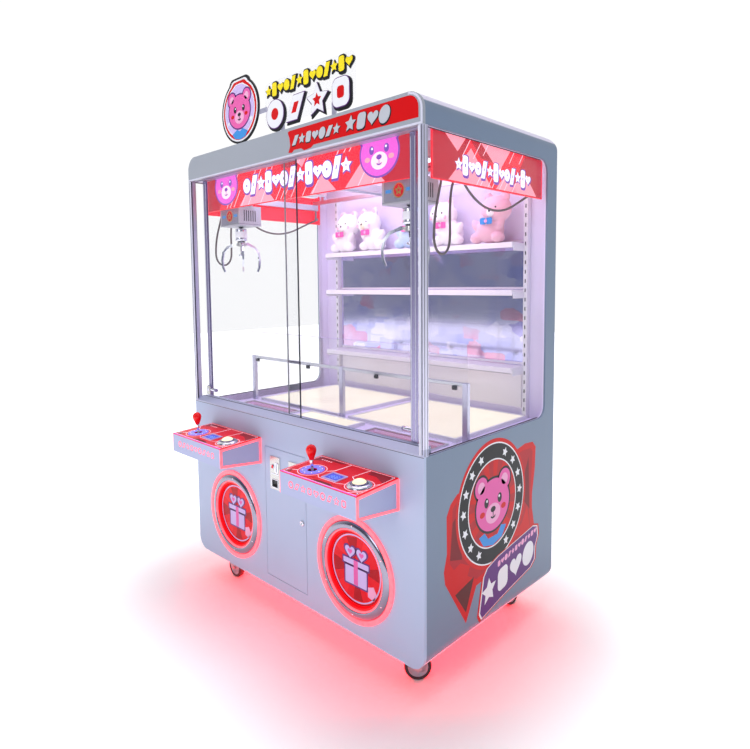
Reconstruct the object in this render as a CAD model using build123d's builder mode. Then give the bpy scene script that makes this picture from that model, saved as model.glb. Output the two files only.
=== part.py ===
"""Two-player claw crane cabinet, in millimetres.

X runs across the front, Y from the front (-Y) to the rear, Z up from the floor.
"""

from build123d import *
import math
import os

os.makedirs("parts", exist_ok=True)

# Cabinet shell
WIDTH = 1440
DEPTH = 876
FRONT = -338
REAR = FRONT + DEPTH
BASE_Z = 127
SILL_Z = 862
HEAD_Z = 1916
TOP_Z = 2024
SHEET = 12
CORNER = 60
WINDOW_REAR = FRONT + 798
WINDOW_CORNER = 50
HALF = WIDTH / 2
INNER = HALF - SHEET

# Prize ports and coin door
PORT_X = 390
PORT_Z = 379
PORT_R = 150
LINER_R = 139.5
FLAP_R = 135
FLAP_PIVOT_Z = PORT_Z + 130
DOOR_L = -150
DOOR_R = 116
DOOR_B = 180
DOOR_T = 740

# Control boxes
BOX_XS = (-375, 415)
BOX_HALF = 195
BOX_DEPTH = 200
BOX_SHEET = 3
PLATE_MID_Z = 767.5
PLATE_RISE = 11.0
PLATE_TILT = math.degrees(math.atan(PLATE_RISE / BOX_DEPTH))
STICK_AT = (-102, -27)
SCREEN_AT = (17, -29)
BUTTON_AT = (138, -28)
PIVOT_DEPTH = 40

# Sliding doors
GLASS = 5
TRACKS = (36, 50)
DOOR_OUT = 650
PANE_IN = 48
PANE_Z0 = 880
PANE_Z1 = 1926

# Deck, chutes and fence
DECK_Z = 830
HOLE_X0 = 250
HOLE_X1 = 610
HOLE_Y0 = 84
HOLE_Y1 = 262
FENCE_Y = 300

# Gantries
RAIL_XS = (672, 28)
RAIL_Z0 = 1835
RAIL_Z1 = 1865
CLAW_X = 530
CLAW_Y = 160
BEAM_Z0 = 1800
BEAM_Z1 = 1830
MOTOR_Z0 = 1700
MOTOR_Z1 = 1790
CLAW_TOP = 1692
CLAW_HUB = 1618
FINGER_R = 24

# Casters
WHEEL_R = 50
TRAIL = 35
FRONT_CASTERS = (("left", -570, 90, 0), ("right", 570, 90, 45))
REAR_CASTER_X = 575
REAR_CASTER_Y = 780

FACE = Plane.XZ.offset(-FRONT)


# ---- shell -----------------------------------------------------------------
with BuildPart() as front_view:
    with BuildSketch(Plane.XZ.offset(-FRONT + 50)):
        with Locations((0, (BASE_Z + TOP_Z) / 2)):
            RectangleRounded(WIDTH, TOP_Z - BASE_Z, CORNER)
    extrude(amount=-DEPTH - 100)

with BuildPart() as inner_view:
    with BuildSketch(Plane.XZ.offset(-FRONT + 60)):
        with Locations((0, (BASE_Z + TOP_Z) / 2)):
            RectangleRounded(WIDTH - 2 * SHEET, TOP_Z - BASE_Z - 2 * SHEET, CORNER - SHEET)
    extrude(amount=-DEPTH - 120)

with BuildPart() as side_view:
    with BuildSketch(Plane.YZ.offset(-HALF - 10)) as side_profile:
        with BuildLine():
            Polyline(
                (FRONT, BASE_Z),
                (REAR, BASE_Z),
                (REAR, TOP_Z),
                (FRONT, TOP_Z),
                close=True,
            )
        make_face()
        fillet(side_profile.vertices().group_by(Axis.X)[-1], CORNER)
    extrude(amount=WIDTH + 20)

with BuildPart() as base_frame:
    with Locations((0, FRONT + SHEET + 402, BASE_Z + SHEET / 2)):
        Box(2 * (HALF - CORNER), 804, SHEET)
    with Locations(
        (-570, FRONT + 90, BASE_Z - 3),
        (570, FRONT + 90, BASE_Z - 3),
        (-REAR_CASTER_X, FRONT + REAR_CASTER_Y, BASE_Z - 3),
        (REAR_CASTER_X, FRONT + REAR_CASTER_Y, BASE_Z - 3),
    ):
        Box(110, 110, 6)
base_frame.part.label = "base_frame"
export_step(base_frame.part, "parts/base_frame.step")

for side, sign in (("left", -1), ("right", 1)):
    with BuildPart() as side_panel:
        add(front_view.part)
        add(inner_view.part, mode=Mode.SUBTRACT)
        add(side_view.part, mode=Mode.INTERSECT)
        with Locations((sign * (HALF - CORNER + 100), FRONT + SHEET + 432, 1100)):
            Box(200, 864, 2200, mode=Mode.INTERSECT)
        with BuildSketch(Plane.YZ.offset(-HALF - 20)) as window:
            with BuildLine():
                Polyline(
                    (FRONT, SILL_Z),
                    (WINDOW_REAR, SILL_Z),
                    (WINDOW_REAR, HEAD_Z),
                    (FRONT, HEAD_Z),
                    close=True,
                )
            make_face()
            fillet(window.vertices().group_by(Axis.X)[-1], WINDOW_CORNER)
        extrude(amount=WIDTH + 40, mode=Mode.SUBTRACT)
    side_panel.part.label = side + "_side_panel"
    export_step(side_panel.part, "parts/" + side + "_side_panel.step")

with BuildPart() as shell_sides:
    add(front_view.part)
    add(inner_view.part, mode=Mode.SUBTRACT)
    with Locations((0, FRONT + DEPTH / 2, 1100)):
        Box(2 * (HALF - CORNER), DEPTH + 400, 2400, mode=Mode.SUBTRACT)

with BuildPart() as back_panel:
    add(side_view.part)
    with BuildSketch(Plane.YZ.offset(-HALF - 30)) as rear_inner:
        with BuildLine():
            Polyline(
                (FRONT - 10, BASE_Z + SHEET),
                (REAR - SHEET, BASE_Z + SHEET),
                (REAR - SHEET, TOP_Z - SHEET),
                (FRONT - 10, TOP_Z - SHEET),
                close=True,
            )
        make_face()
        fillet(rear_inner.vertices().group_by(Axis.X)[-1], CORNER - SHEET)
    extrude(amount=WIDTH + 60, mode=Mode.SUBTRACT)
    with Locations((0, REAR - 30, 1100)):
        Box(2 * HALF, 60, 2200, mode=Mode.INTERSECT)
    add(front_view.part, mode=Mode.INTERSECT)
    add(shell_sides.part, mode=Mode.SUBTRACT)
    with Locations(*[(x, REAR - SHEET / 2, 420) for x in range(-240, 241, 40)]):
        Box(16, SHEET, 120, mode=Mode.SUBTRACT)
back_panel.part.label = "back_panel"
export_step(back_panel.part, "parts/back_panel.step")

with BuildPart() as header_canopy:
    with BuildSketch(FACE) as fascia:
        with Locations((0, (HEAD_Z + TOP_Z) / 2)):
            Rectangle(WIDTH, TOP_Z - HEAD_Z)
        fillet(fascia.vertices().group_by(Axis.Y)[-1], CORNER)
    extrude(amount=-SHEET)
    with Locations((0, FRONT + SHEET + 402, TOP_Z - SHEET / 2)):
        Box(2 * (HALF - CORNER), 804, SHEET)
header_canopy.part.label = "header_canopy"
export_step(header_canopy.part, "parts/header_canopy.step")

with BuildPart() as front_panel:
    with BuildSketch(FACE) as front_face:
        with Locations((0, (BASE_Z + SILL_Z) / 2)):
            Rectangle(WIDTH, SILL_Z - BASE_Z)
        fillet(front_face.vertices().group_by(Axis.Y)[0], CORNER)
        with Locations((-PORT_X, PORT_Z), (PORT_X, PORT_Z)):
            Circle(PORT_R, mode=Mode.SUBTRACT)
        with Locations(((DOOR_L + DOOR_R) / 2, (DOOR_B + DOOR_T) / 2)):
            Rectangle(DOOR_R - DOOR_L + 4, DOOR_T - DOOR_B + 4, mode=Mode.SUBTRACT)
        with Locations((BOX_XS[0], 715), (BOX_XS[1], 715)):
            Rectangle(60, 40, mode=Mode.SUBTRACT)
    extrude(amount=-SHEET)
front_panel.part.label = "front_panel"
export_step(front_panel.part, "parts/front_panel.step")

# ---- window frame, glass and lit panels ------------------------------------
with BuildPart() as door_frame:
    with BuildSketch(Plane.YZ.offset(-700)):
        with BuildLine():
            Polyline(
                (FRONT, SILL_Z),
                (FRONT + 62, SILL_Z),
                (FRONT + 62, SILL_Z + 24),
                (FRONT + 30, SILL_Z + 24),
                (FRONT, SILL_Z + 6),
                close=True,
            )
        make_face()
        with Locations(
            (FRONT + TRACKS[0] + 3, SILL_Z + 21),
            (FRONT + TRACKS[1] + 3, SILL_Z + 21),
        ):
            Rectangle(6, 8, mode=Mode.SUBTRACT)
    extrude(amount=1400)
    with BuildSketch(Plane.YZ.offset(-700)):
        with Locations((FRONT + 46, HEAD_Z + 12)):
            Rectangle(32, 24)
        with Locations(
            (FRONT + TRACKS[0] + 3, HEAD_Z + 6),
            (FRONT + TRACKS[1] + 3, HEAD_Z + 6),
        ):
            Rectangle(6, 16, mode=Mode.SUBTRACT)
    extrude(amount=1400)
    with Locations(
        (-710, FRONT + 12, (SILL_Z + HEAD_Z) / 2),
        (710, FRONT + 12, (SILL_Z + HEAD_Z) / 2),
    ):
        Box(20, 24, HEAD_Z - SILL_Z)
door_frame.part.label = "door_frame"
export_step(door_frame.part, "parts/door_frame.step")

for side, sign, track in (("left", -1, TRACKS[0]), ("right", 1, TRACKS[1])):
    with BuildPart() as pane:
        with Locations((sign * (630 - PANE_IN) / 2, FRONT + track + 3, (PANE_Z0 + PANE_Z1) / 2)):
            Box(630 + PANE_IN, GLASS, PANE_Z1 - PANE_Z0)
    pane.part.label = "glass_door_" + side
    export_step(pane.part, "parts/glass_door_" + side + ".step")

    with BuildPart() as stile:
        with Locations((sign * (DOOR_OUT - 13), FRONT + track + 3, (SILL_Z + 26 + HEAD_Z) / 2)):
            Box(26, 9, HEAD_Z - SILL_Z - 30)
        with Locations((sign * 606, FRONT + track + 3, (SILL_Z + HEAD_Z) / 2)):
            Box(48, GLASS, 1200, mode=Mode.SUBTRACT)
        if sign < 0:
            with Locations((sign * 631, FRONT + 29, SILL_Z + 58)):
                Box(30, 11, 44)
            with Locations((sign * 601, FRONT + 27, SILL_Z + 62)):
                Cylinder(8, 60, rotation=(0, 90, 0))
        else:
            with Locations((sign * 631, FRONT + 66, SILL_Z + 58)):
                Box(30, 17, 44)
            with Locations((sign * 601, FRONT + 68, SILL_Z + 62)):
                Cylinder(8, 60, rotation=(0, 90, 0))
    stile.part.label = "door_stile_" + side
    export_step(stile.part, "parts/door_stile_" + side + ".step")

with BuildPart() as side_glass:
    with Locations((-704.5, FRONT + 421, 1384), (704.5, FRONT + 421, 1384)):
        Box(GLASS, 790, 1104)
side_glass.part.label = "side_glass"
export_step(side_glass.part, "parts/side_glass.step")

with BuildPart() as marquee_panels:
    with Locations((0, FRONT + 69, 1880)):
        Box(1328, 6, 216)
    with Locations((-693, FRONT + 435, 1870), (693, FRONT + 435, 1870)):
        Box(6, 722, 216)
marquee_panels.part.label = "marquee_panels"
export_step(marquee_panels.part, "parts/marquee_panels.step")

with BuildPart() as roof_sign:
    with BuildSketch(Plane.XZ.offset(-FRONT - 6)):
        with Locations((-289, 2162)):
            Ellipse(138, 136)
        with Locations((-289, 2255)):
            RectangleRounded(150, 90, 30)
        with Locations((150, 2140)):
            RectangleRounded(526, 176, 30)
        with Locations((-60, 2130)):
            Rectangle(200, 20)
        with Locations((-289, 2044), (0, 2044), (300, 2044)):
            Rectangle(24, 40)
    extrude(amount=-10)
    with Locations(
        (-289, FRONT + 30, TOP_Z + 2),
        (0, FRONT + 30, TOP_Z + 2),
        (300, FRONT + 30, TOP_Z + 2),
    ):
        Box(24, 30, 4)
roof_sign.part.label = "roof_sign"
export_step(roof_sign.part, "parts/roof_sign.step")

# ---- rear wall fittings ----------------------------------------------------
with BuildPart() as mirror_panel:
    with Locations((0, FRONT + 861, 1240)):
        Box(1160, 6, 740)
mirror_panel.part.label = "mirror_panel"
export_step(mirror_panel.part, "parts/mirror_panel.step")

with BuildPart() as display_shelves:
    with Locations((-600, FRONT + 851, 1371), (600, FRONT + 851, 1371)):
        Box(20, 26, 1078)
    with Locations(
        (0, FRONT + 801, 1588),
        (0, FRONT + 801, 1386),
        (0, FRONT + 801, 1054),
    ):
        Box(1180, 112, 12)
    with Locations(
        (0, FRONT + 748, 1582),
        (0, FRONT + 748, 1380),
        (0, FRONT + 748, 1048),
    ):
        Box(1180, 6, 24)
display_shelves.part.label = "display_shelves"
export_step(display_shelves.part, "parts/display_shelves.step")

TOY_TOP = 1594
with BuildPart() as plush_toys:
    for toy_x, head_dx in ((-470, 34), (-245, -36), (0, 36), (240, -34), (455, 36)):
        with Locations((toy_x, FRONT + 788, TOY_TOP + 58)):
            Sphere(64)
        with Locations((toy_x + head_dx, FRONT + 780, TOY_TOP + 148)):
            Sphere(66)
        with Locations(
            (toy_x + head_dx - 38, FRONT + 784, TOY_TOP + 208),
            (toy_x + head_dx + 38, FRONT + 784, TOY_TOP + 208),
        ):
            Sphere(24)
        with Locations(
            (toy_x - 54, FRONT + 772, TOY_TOP + 26),
            (toy_x + 54, FRONT + 772, TOY_TOP + 26),
        ):
            Sphere(28)
    with Locations((0, FRONT + 800, TOY_TOP - 50)):
        Box(1400, 300, 100, mode=Mode.SUBTRACT)
plush_toys.part.label = "plush_toys"
export_step(plush_toys.part, "parts/plush_toys.step")

# ---- deck, chutes and fence ------------------------------------------------
with BuildPart() as play_deck:
    with Locations((0, FRONT + 460, DECK_Z - 6)):
        Box(1392, 792, 12)
    for sign in (-1, 1):
        with Locations(
            (sign * (HOLE_X0 + HOLE_X1) / 2, FRONT + (HOLE_Y0 + HOLE_Y1) / 2, DECK_Z - 6)
        ):
            Box(HOLE_X1 - HOLE_X0, HOLE_Y1 - HOLE_Y0, 12, mode=Mode.SUBTRACT)
play_deck.part.label = "play_deck"
export_step(play_deck.part, "parts/play_deck.step")

with BuildPart() as deck_light_panels:
    with Locations((-325, FRONT + 575, DECK_Z + 6), (325, FRONT + 575, DECK_Z + 6)):
        Box(560, 500, 12)
    with Locations((0, FRONT + 190, DECK_Z + 6)):
        Box(320, 160, 12)
deck_light_panels.part.label = "deck_light_panels"
export_step(deck_light_panels.part, "parts/deck_light_panels.step")

with BuildPart() as prize_chutes:
    for sign in (-1, 1):
        with Locations((sign * 430, FRONT + 143.5, 504)):
            Box(380, 263, 628)
        with BuildSketch(Plane.YZ.offset(sign * 430 - 187)):
            with BuildLine():
                Polyline(
                    (FRONT + 15, 208),
                    (FRONT + 272, 330),
                    (FRONT + 272, 818),
                    (FRONT + 15, 818),
                    close=True,
                )
            make_face()
        extrude(amount=374, mode=Mode.SUBTRACT)
        with BuildSketch(Plane.XZ.offset(-FRONT + 2)):
            with Locations((sign * PORT_X, PORT_Z)):
                Circle(PORT_R - 0.5)
        extrude(amount=-17)
        with BuildSketch(Plane.XZ.offset(-FRONT + 2)):
            with Locations((sign * PORT_X, PORT_Z)):
                Circle(LINER_R)
        extrude(amount=-17, mode=Mode.SUBTRACT)
prize_chutes.part.label = "prize_chutes"
export_step(prize_chutes.part, "parts/prize_chutes.step")

with BuildPart() as prize_port_rings:
    with BuildSketch(Plane.XZ.offset(-FRONT)):
        with Locations((-PORT_X, PORT_Z), (PORT_X, PORT_Z)):
            Circle(182)
            Circle(152, mode=Mode.SUBTRACT)
    extrude(amount=14)
    chamfer(prize_port_rings.faces().group_by(Axis.Y)[0].edges(), 4)
prize_port_rings.part.label = "prize_port_rings"
export_step(prize_port_rings.part, "parts/prize_port_rings.step")

for side, sign in (("left", -1), ("right", 1)):
    with BuildPart() as prize_flap:
        with BuildSketch(Plane.XZ.offset(-FRONT - 8)):
            with Locations((sign * PORT_X, PORT_Z)):
                Circle(FLAP_R)
        extrude(amount=-4)
        with Locations((sign * PORT_X, FRONT + 10, FLAP_PIVOT_Z)):
            Cylinder(2.5, 80, rotation=(0, 90, 0))
    prize_flap.part.label = "prize_flap_" + side
    export_step(prize_flap.part, "parts/prize_flap_" + side + ".step")

with BuildPart() as chute_fence:
    with Locations(
        (-664, FRONT + FENCE_Y + 12, DECK_Z + 115),
        (0, FRONT + FENCE_Y + 12, DECK_Z + 115),
        (664, FRONT + FENCE_Y + 12, DECK_Z + 115),
    ):
        Box(24, 16, 230)
    with Locations((0, FRONT + FENCE_Y + 12, DECK_Z + 222)):
        Box(1304, 12, 14)
    with Locations((0, FRONT + FENCE_Y + 2, DECK_Z + 177.5)):
        Box(1352, 4, 355)
chute_fence.part.label = "chute_fence"
export_step(chute_fence.part, "parts/chute_fence.step")

# ---- control boxes ---------------------------------------------------------
BOX_PROFILE = (
    (FRONT, 660),
    (FRONT, 770),
    (FRONT - BOX_DEPTH, 759),
    (FRONT - BOX_DEPTH, 681),
)
BOX_HOLLOW = (
    (FRONT + 1, 663),
    (FRONT + 1, 780),
    (FRONT - BOX_DEPTH + BOX_SHEET, 780),
    (FRONT - BOX_DEPTH + BOX_SHEET, 684),
)
PLATE_PROFILE = (
    (FRONT, 770),
    (FRONT, 773),
    (FRONT - BOX_DEPTH, 762),
    (FRONT - BOX_DEPTH, 759),
)
PLATE_NORMAL = (
    0,
    -math.sin(math.radians(PLATE_TILT)),
    math.cos(math.radians(PLATE_TILT)),
)
PLATE_PLANES = [
    Plane(origin=(x, FRONT - BOX_DEPTH / 2, PLATE_MID_Z), x_dir=(1, 0, 0), z_dir=PLATE_NORMAL)
    for x in BOX_XS
]

with BuildPart() as control_boxes:
    for box_x in BOX_XS:
        with BuildSketch(Plane.YZ.offset(box_x - BOX_HALF)):
            with BuildLine():
                Polyline(*BOX_PROFILE, close=True)
            make_face()
        extrude(amount=2 * BOX_HALF)
        with BuildSketch(Plane.YZ.offset(box_x - BOX_HALF + BOX_SHEET)):
            with BuildLine():
                Polyline(*BOX_HOLLOW, close=True)
            make_face()
        extrude(amount=2 * (BOX_HALF - BOX_SHEET), mode=Mode.SUBTRACT)
control_boxes.part.label = "control_boxes"
export_step(control_boxes.part, "parts/control_boxes.step")

with BuildPart() as control_plates:
    for box_x, plate in zip(BOX_XS, PLATE_PLANES):
        with BuildSketch(Plane.YZ.offset(box_x - BOX_HALF)):
            with BuildLine():
                Polyline(*PLATE_PROFILE, close=True)
            make_face()
        extrude(amount=2 * BOX_HALF)
        with BuildSketch(plate.offset(10)):
            with Locations(STICK_AT):
                Circle(18)
            with Locations(BUTTON_AT):
                Circle(31)
            with Locations(SCREEN_AT):
                Rectangle(62, 46)
        extrude(amount=-20, mode=Mode.SUBTRACT)
control_plates.part.label = "control_plates"
export_step(control_plates.part, "parts/control_plates.step")

with BuildPart() as control_fittings:
    for plate in PLATE_PLANES:
        with BuildSketch(plate):
            with Locations(STICK_AT):
                Circle(45)
                Circle(18.5, mode=Mode.SUBTRACT)
        extrude(amount=2.5)
        with BuildSketch(plate):
            with Locations(BUTTON_AT):
                Circle(44)
                Circle(30.6, mode=Mode.SUBTRACT)
        extrude(amount=9)
        with BuildSketch(plate):
            with Locations(SCREEN_AT):
                Rectangle(78, 60)
        extrude(amount=3)
        with BuildSketch(plate):
            with Locations(SCREEN_AT):
                Rectangle(61.6, 45.6)
        extrude(amount=-12)
        with BuildSketch(plate.offset(-3)):
            with Locations(STICK_AT):
                Rectangle(70, 70)
                Rectangle(64, 64, mode=Mode.SUBTRACT)
        extrude(amount=-62)
        with Locations(plate.offset(-PIVOT_DEPTH)):
            with Locations((STICK_AT[0], STICK_AT[1], 0)):
                Cylinder(2.05, 80, rotation=(0, 90, 0), mode=Mode.SUBTRACT)
        with BuildSketch(plate.offset(-62)):
            with Locations(STICK_AT):
                Rectangle(66, 66)
        extrude(amount=-3)
        with BuildSketch(plate.offset(-3)):
            with Locations(BUTTON_AT):
                Circle(33.5)
                Circle(30.6, mode=Mode.SUBTRACT)
        extrude(amount=-32)
        with BuildSketch(plate.offset(-32)):
            with Locations(BUTTON_AT):
                Circle(32)
        extrude(amount=-3)
control_fittings.part.label = "control_fittings"
export_step(control_fittings.part, "parts/control_fittings.step")

for side, plate in zip(("left", "right"), PLATE_PLANES):
    with BuildPart() as gimbal:
        with BuildSketch(plate.offset(-PIVOT_DEPTH - 3)):
            with Locations(STICK_AT):
                Circle(15)
                Circle(9.5, mode=Mode.SUBTRACT)
        extrude(amount=6)
        with Locations(plate.offset(-PIVOT_DEPTH)):
            with Locations((STICK_AT[0] - 23, STICK_AT[1], 0), (STICK_AT[0] + 23, STICK_AT[1], 0)):
                Cylinder(2, 21, rotation=(0, 90, 0))
            with Locations((STICK_AT[0], STICK_AT[1], 0)):
                Cylinder(1.85, 40, rotation=(90, 0, 0), mode=Mode.SUBTRACT)
    gimbal.part.label = "joystick_gimbal_" + side
    export_step(gimbal.part, "parts/joystick_gimbal_" + side + ".step")

    with BuildPart() as joystick:
        with BuildSketch(plate.offset(-PIVOT_DEPTH - 14)):
            with Locations(STICK_AT):
                Circle(5)
        extrude(amount=PIVOT_DEPTH + 14 + 60)
        with BuildSketch(plate.offset(-PIVOT_DEPTH - 6)):
            with Locations(STICK_AT):
                Circle(8)
        extrude(amount=12)
        with Locations(plate.offset(-PIVOT_DEPTH)):
            with Locations((STICK_AT[0], STICK_AT[1], 0)):
                Cylinder(1.8, 29, rotation=(90, 0, 0))
        with BuildSketch(plate.offset(-PIVOT_DEPTH + 26)):
            with Locations(STICK_AT):
                Circle(24)
        extrude(amount=1.5)
        with Locations(plate.offset(74)):
            with Locations((STICK_AT[0], STICK_AT[1], 0)):
                Sphere(19)
        with Locations(plate.offset(52)):
            with Locations((STICK_AT[0], STICK_AT[1], 0)):
                Cone(8, 15.5, 28)
    joystick.part.label = "joystick_" + side
    export_step(joystick.part, "parts/joystick_" + side + ".step")

    with BuildPart() as button:
        with BuildSketch(plate.offset(-3)):
            with Locations(BUTTON_AT):
                Circle(30)
        extrude(amount=17)
        with BuildSketch(plate.offset(14)):
            with Locations(BUTTON_AT):
                Circle(30)
        extrude(amount=9, taper=35)
        with BuildSketch(plate.offset(-24)):
            with Locations(BUTTON_AT):
                Circle(10)
        extrude(amount=22)
    button.part.label = "button_" + side
    export_step(button.part, "parts/button_" + side + ".step")

# ---- lights ----------------------------------------------------------------
with BuildPart() as led_strips:
    with BuildSketch(Plane.XZ.offset(-FRONT)):
        with Locations((-PORT_X, PORT_Z), (PORT_X, PORT_Z)):
            Circle(199)
            Circle(183, mode=Mode.SUBTRACT)
    extrude(amount=8)
    with BuildSketch(Plane.XZ.offset(-FRONT + 2)):
        with Locations((-PORT_X, PORT_Z), (PORT_X, PORT_Z)):
            Circle(151.5)
            Circle(147, mode=Mode.SUBTRACT)
    extrude(amount=8)
    for box_x in BOX_XS:
        for sign in (-1, 1):
            with BuildSketch(Plane.YZ.offset(box_x + sign * BOX_HALF)) as trim:
                with BuildLine():
                    Polyline(*BOX_PROFILE, close=True)
                make_face()
                with BuildLine():
                    Polyline(
                        (FRONT - 9, 669),
                        (FRONT - 9, 760),
                        (FRONT - BOX_DEPTH + 9, 750),
                        (FRONT - BOX_DEPTH + 9, 689),
                        close=True,
                    )
                make_face(mode=Mode.SUBTRACT)
            extrude(amount=sign * 2)
    with Locations(
        (0, FRONT + 30, BASE_Z - 4),
        (0, FRONT + 800, BASE_Z - 4),
    ):
        Box(1000, 10, 8)
    with Locations((-650, FRONT + 420, BASE_Z - 4), (650, FRONT + 420, BASE_Z - 4)):
        Box(10, 560, 8)
    with Locations((0, FRONT + 795, TOP_Z - SHEET - 8), (0, FRONT + 110, TOP_Z - SHEET - 8)):
        Box(1200, 20, 16)
led_strips.part.label = "led_strips"
export_step(led_strips.part, "parts/led_strips.step")

# ---- coin door and service bay ---------------------------------------------
MECH_XS = (-80, 46)
MECH_Z = 637
with BuildPart() as coin_door:
    with BuildSketch(FACE):
        with Locations(((DOOR_L + DOOR_R) / 2, (DOOR_B + DOOR_T) / 2)):
            Rectangle(DOOR_R - DOOR_L, DOOR_T - DOOR_B)
        with Locations((MECH_XS[0], MECH_Z), (MECH_XS[1], MECH_Z)):
            Rectangle(58, 130, mode=Mode.SUBTRACT)
        with Locations((93, 469)):
            Circle(9.5, mode=Mode.SUBTRACT)
    extrude(amount=-SHEET + 2)
coin_door.part.label = "coin_door"
export_step(coin_door.part, "parts/coin_door.step")

with BuildPart() as coin_door_fittings:
    with BuildSketch(Plane.XZ.offset(-FRONT)):
        with Locations((MECH_XS[0], MECH_Z), (MECH_XS[1], MECH_Z)):
            Rectangle(66, 140)
    extrude(amount=3)
    with BuildSketch(Plane.XZ.offset(-FRONT)):
        with Locations((MECH_XS[0], MECH_Z), (MECH_XS[1], MECH_Z)):
            Rectangle(57.6, 129.6)
    extrude(amount=-70)
    with BuildSketch(Plane.XZ.offset(-FRONT + 3)):
        with Locations((MECH_XS[0] + 12, MECH_Z + 24), (MECH_XS[1] + 12, MECH_Z + 24)):
            Rectangle(3.5, 34)
        with Locations((MECH_XS[0], MECH_Z - 44), (MECH_XS[1], MECH_Z - 44)):
            Rectangle(40, 32)
    extrude(amount=-22, mode=Mode.SUBTRACT)
    with BuildSketch(Plane.XZ.offset(-FRONT + 4)):
        with Locations((93, 469)):
            Circle(11)
    extrude(amount=-4)
    with BuildSketch(Plane.XZ.offset(-FRONT)):
        with Locations((93, 469)):
            Circle(9.3)
    extrude(amount=-22)
    with BuildSketch(Plane.XZ.offset(-FRONT - 18)):
        with Locations((93, 455)):
            Rectangle(16, 44)
    extrude(amount=-3)
coin_door_fittings.part.label = "coin_door_fittings"
export_step(coin_door_fittings.part, "parts/coin_door_fittings.step")

with BuildPart() as service_units:
    with Locations((-10, FRONT + 180, BASE_Z + SHEET + 90)):
        Box(180, 200, 180)
    with Locations((-10, FRONT + 180, BASE_Z + SHEET + 94)):
        Box(174, 194, 180, mode=Mode.SUBTRACT)
    with Locations((-90, FRONT + 600, BASE_Z + SHEET + 45)):
        Box(200, 120, 90)
    with Locations((140, FRONT + 600, BASE_Z + SHEET + 110)):
        Box(160, 60, 220)
service_units.part.label = "service_units"
export_step(service_units.part, "parts/service_units.step")

# ---- gantries --------------------------------------------------------------
with BuildPart() as gantry_rails:
    for rail_x in (-RAIL_XS[0], -RAIL_XS[1], RAIL_XS[1], RAIL_XS[0]):
        with Locations((rail_x, FRONT + 422, (RAIL_Z0 + RAIL_Z1) / 2)):
            Box(20, 676, RAIL_Z1 - RAIL_Z0)
    with Locations((0, FRONT + 92, RAIL_Z1 + 10), (0, FRONT + 745, RAIL_Z1 + 10)):
        Box(1364, 16, 20)
    for hang_x in (-600, 0, 600):
        with Locations((hang_x, FRONT + 92, 1948.5), (hang_x, FRONT + 745, 1948.5)):
            Box(20, 16, 127)
gantry_rails.part.label = "gantry_rails"
export_step(gantry_rails.part, "parts/gantry_rails.step")

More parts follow.
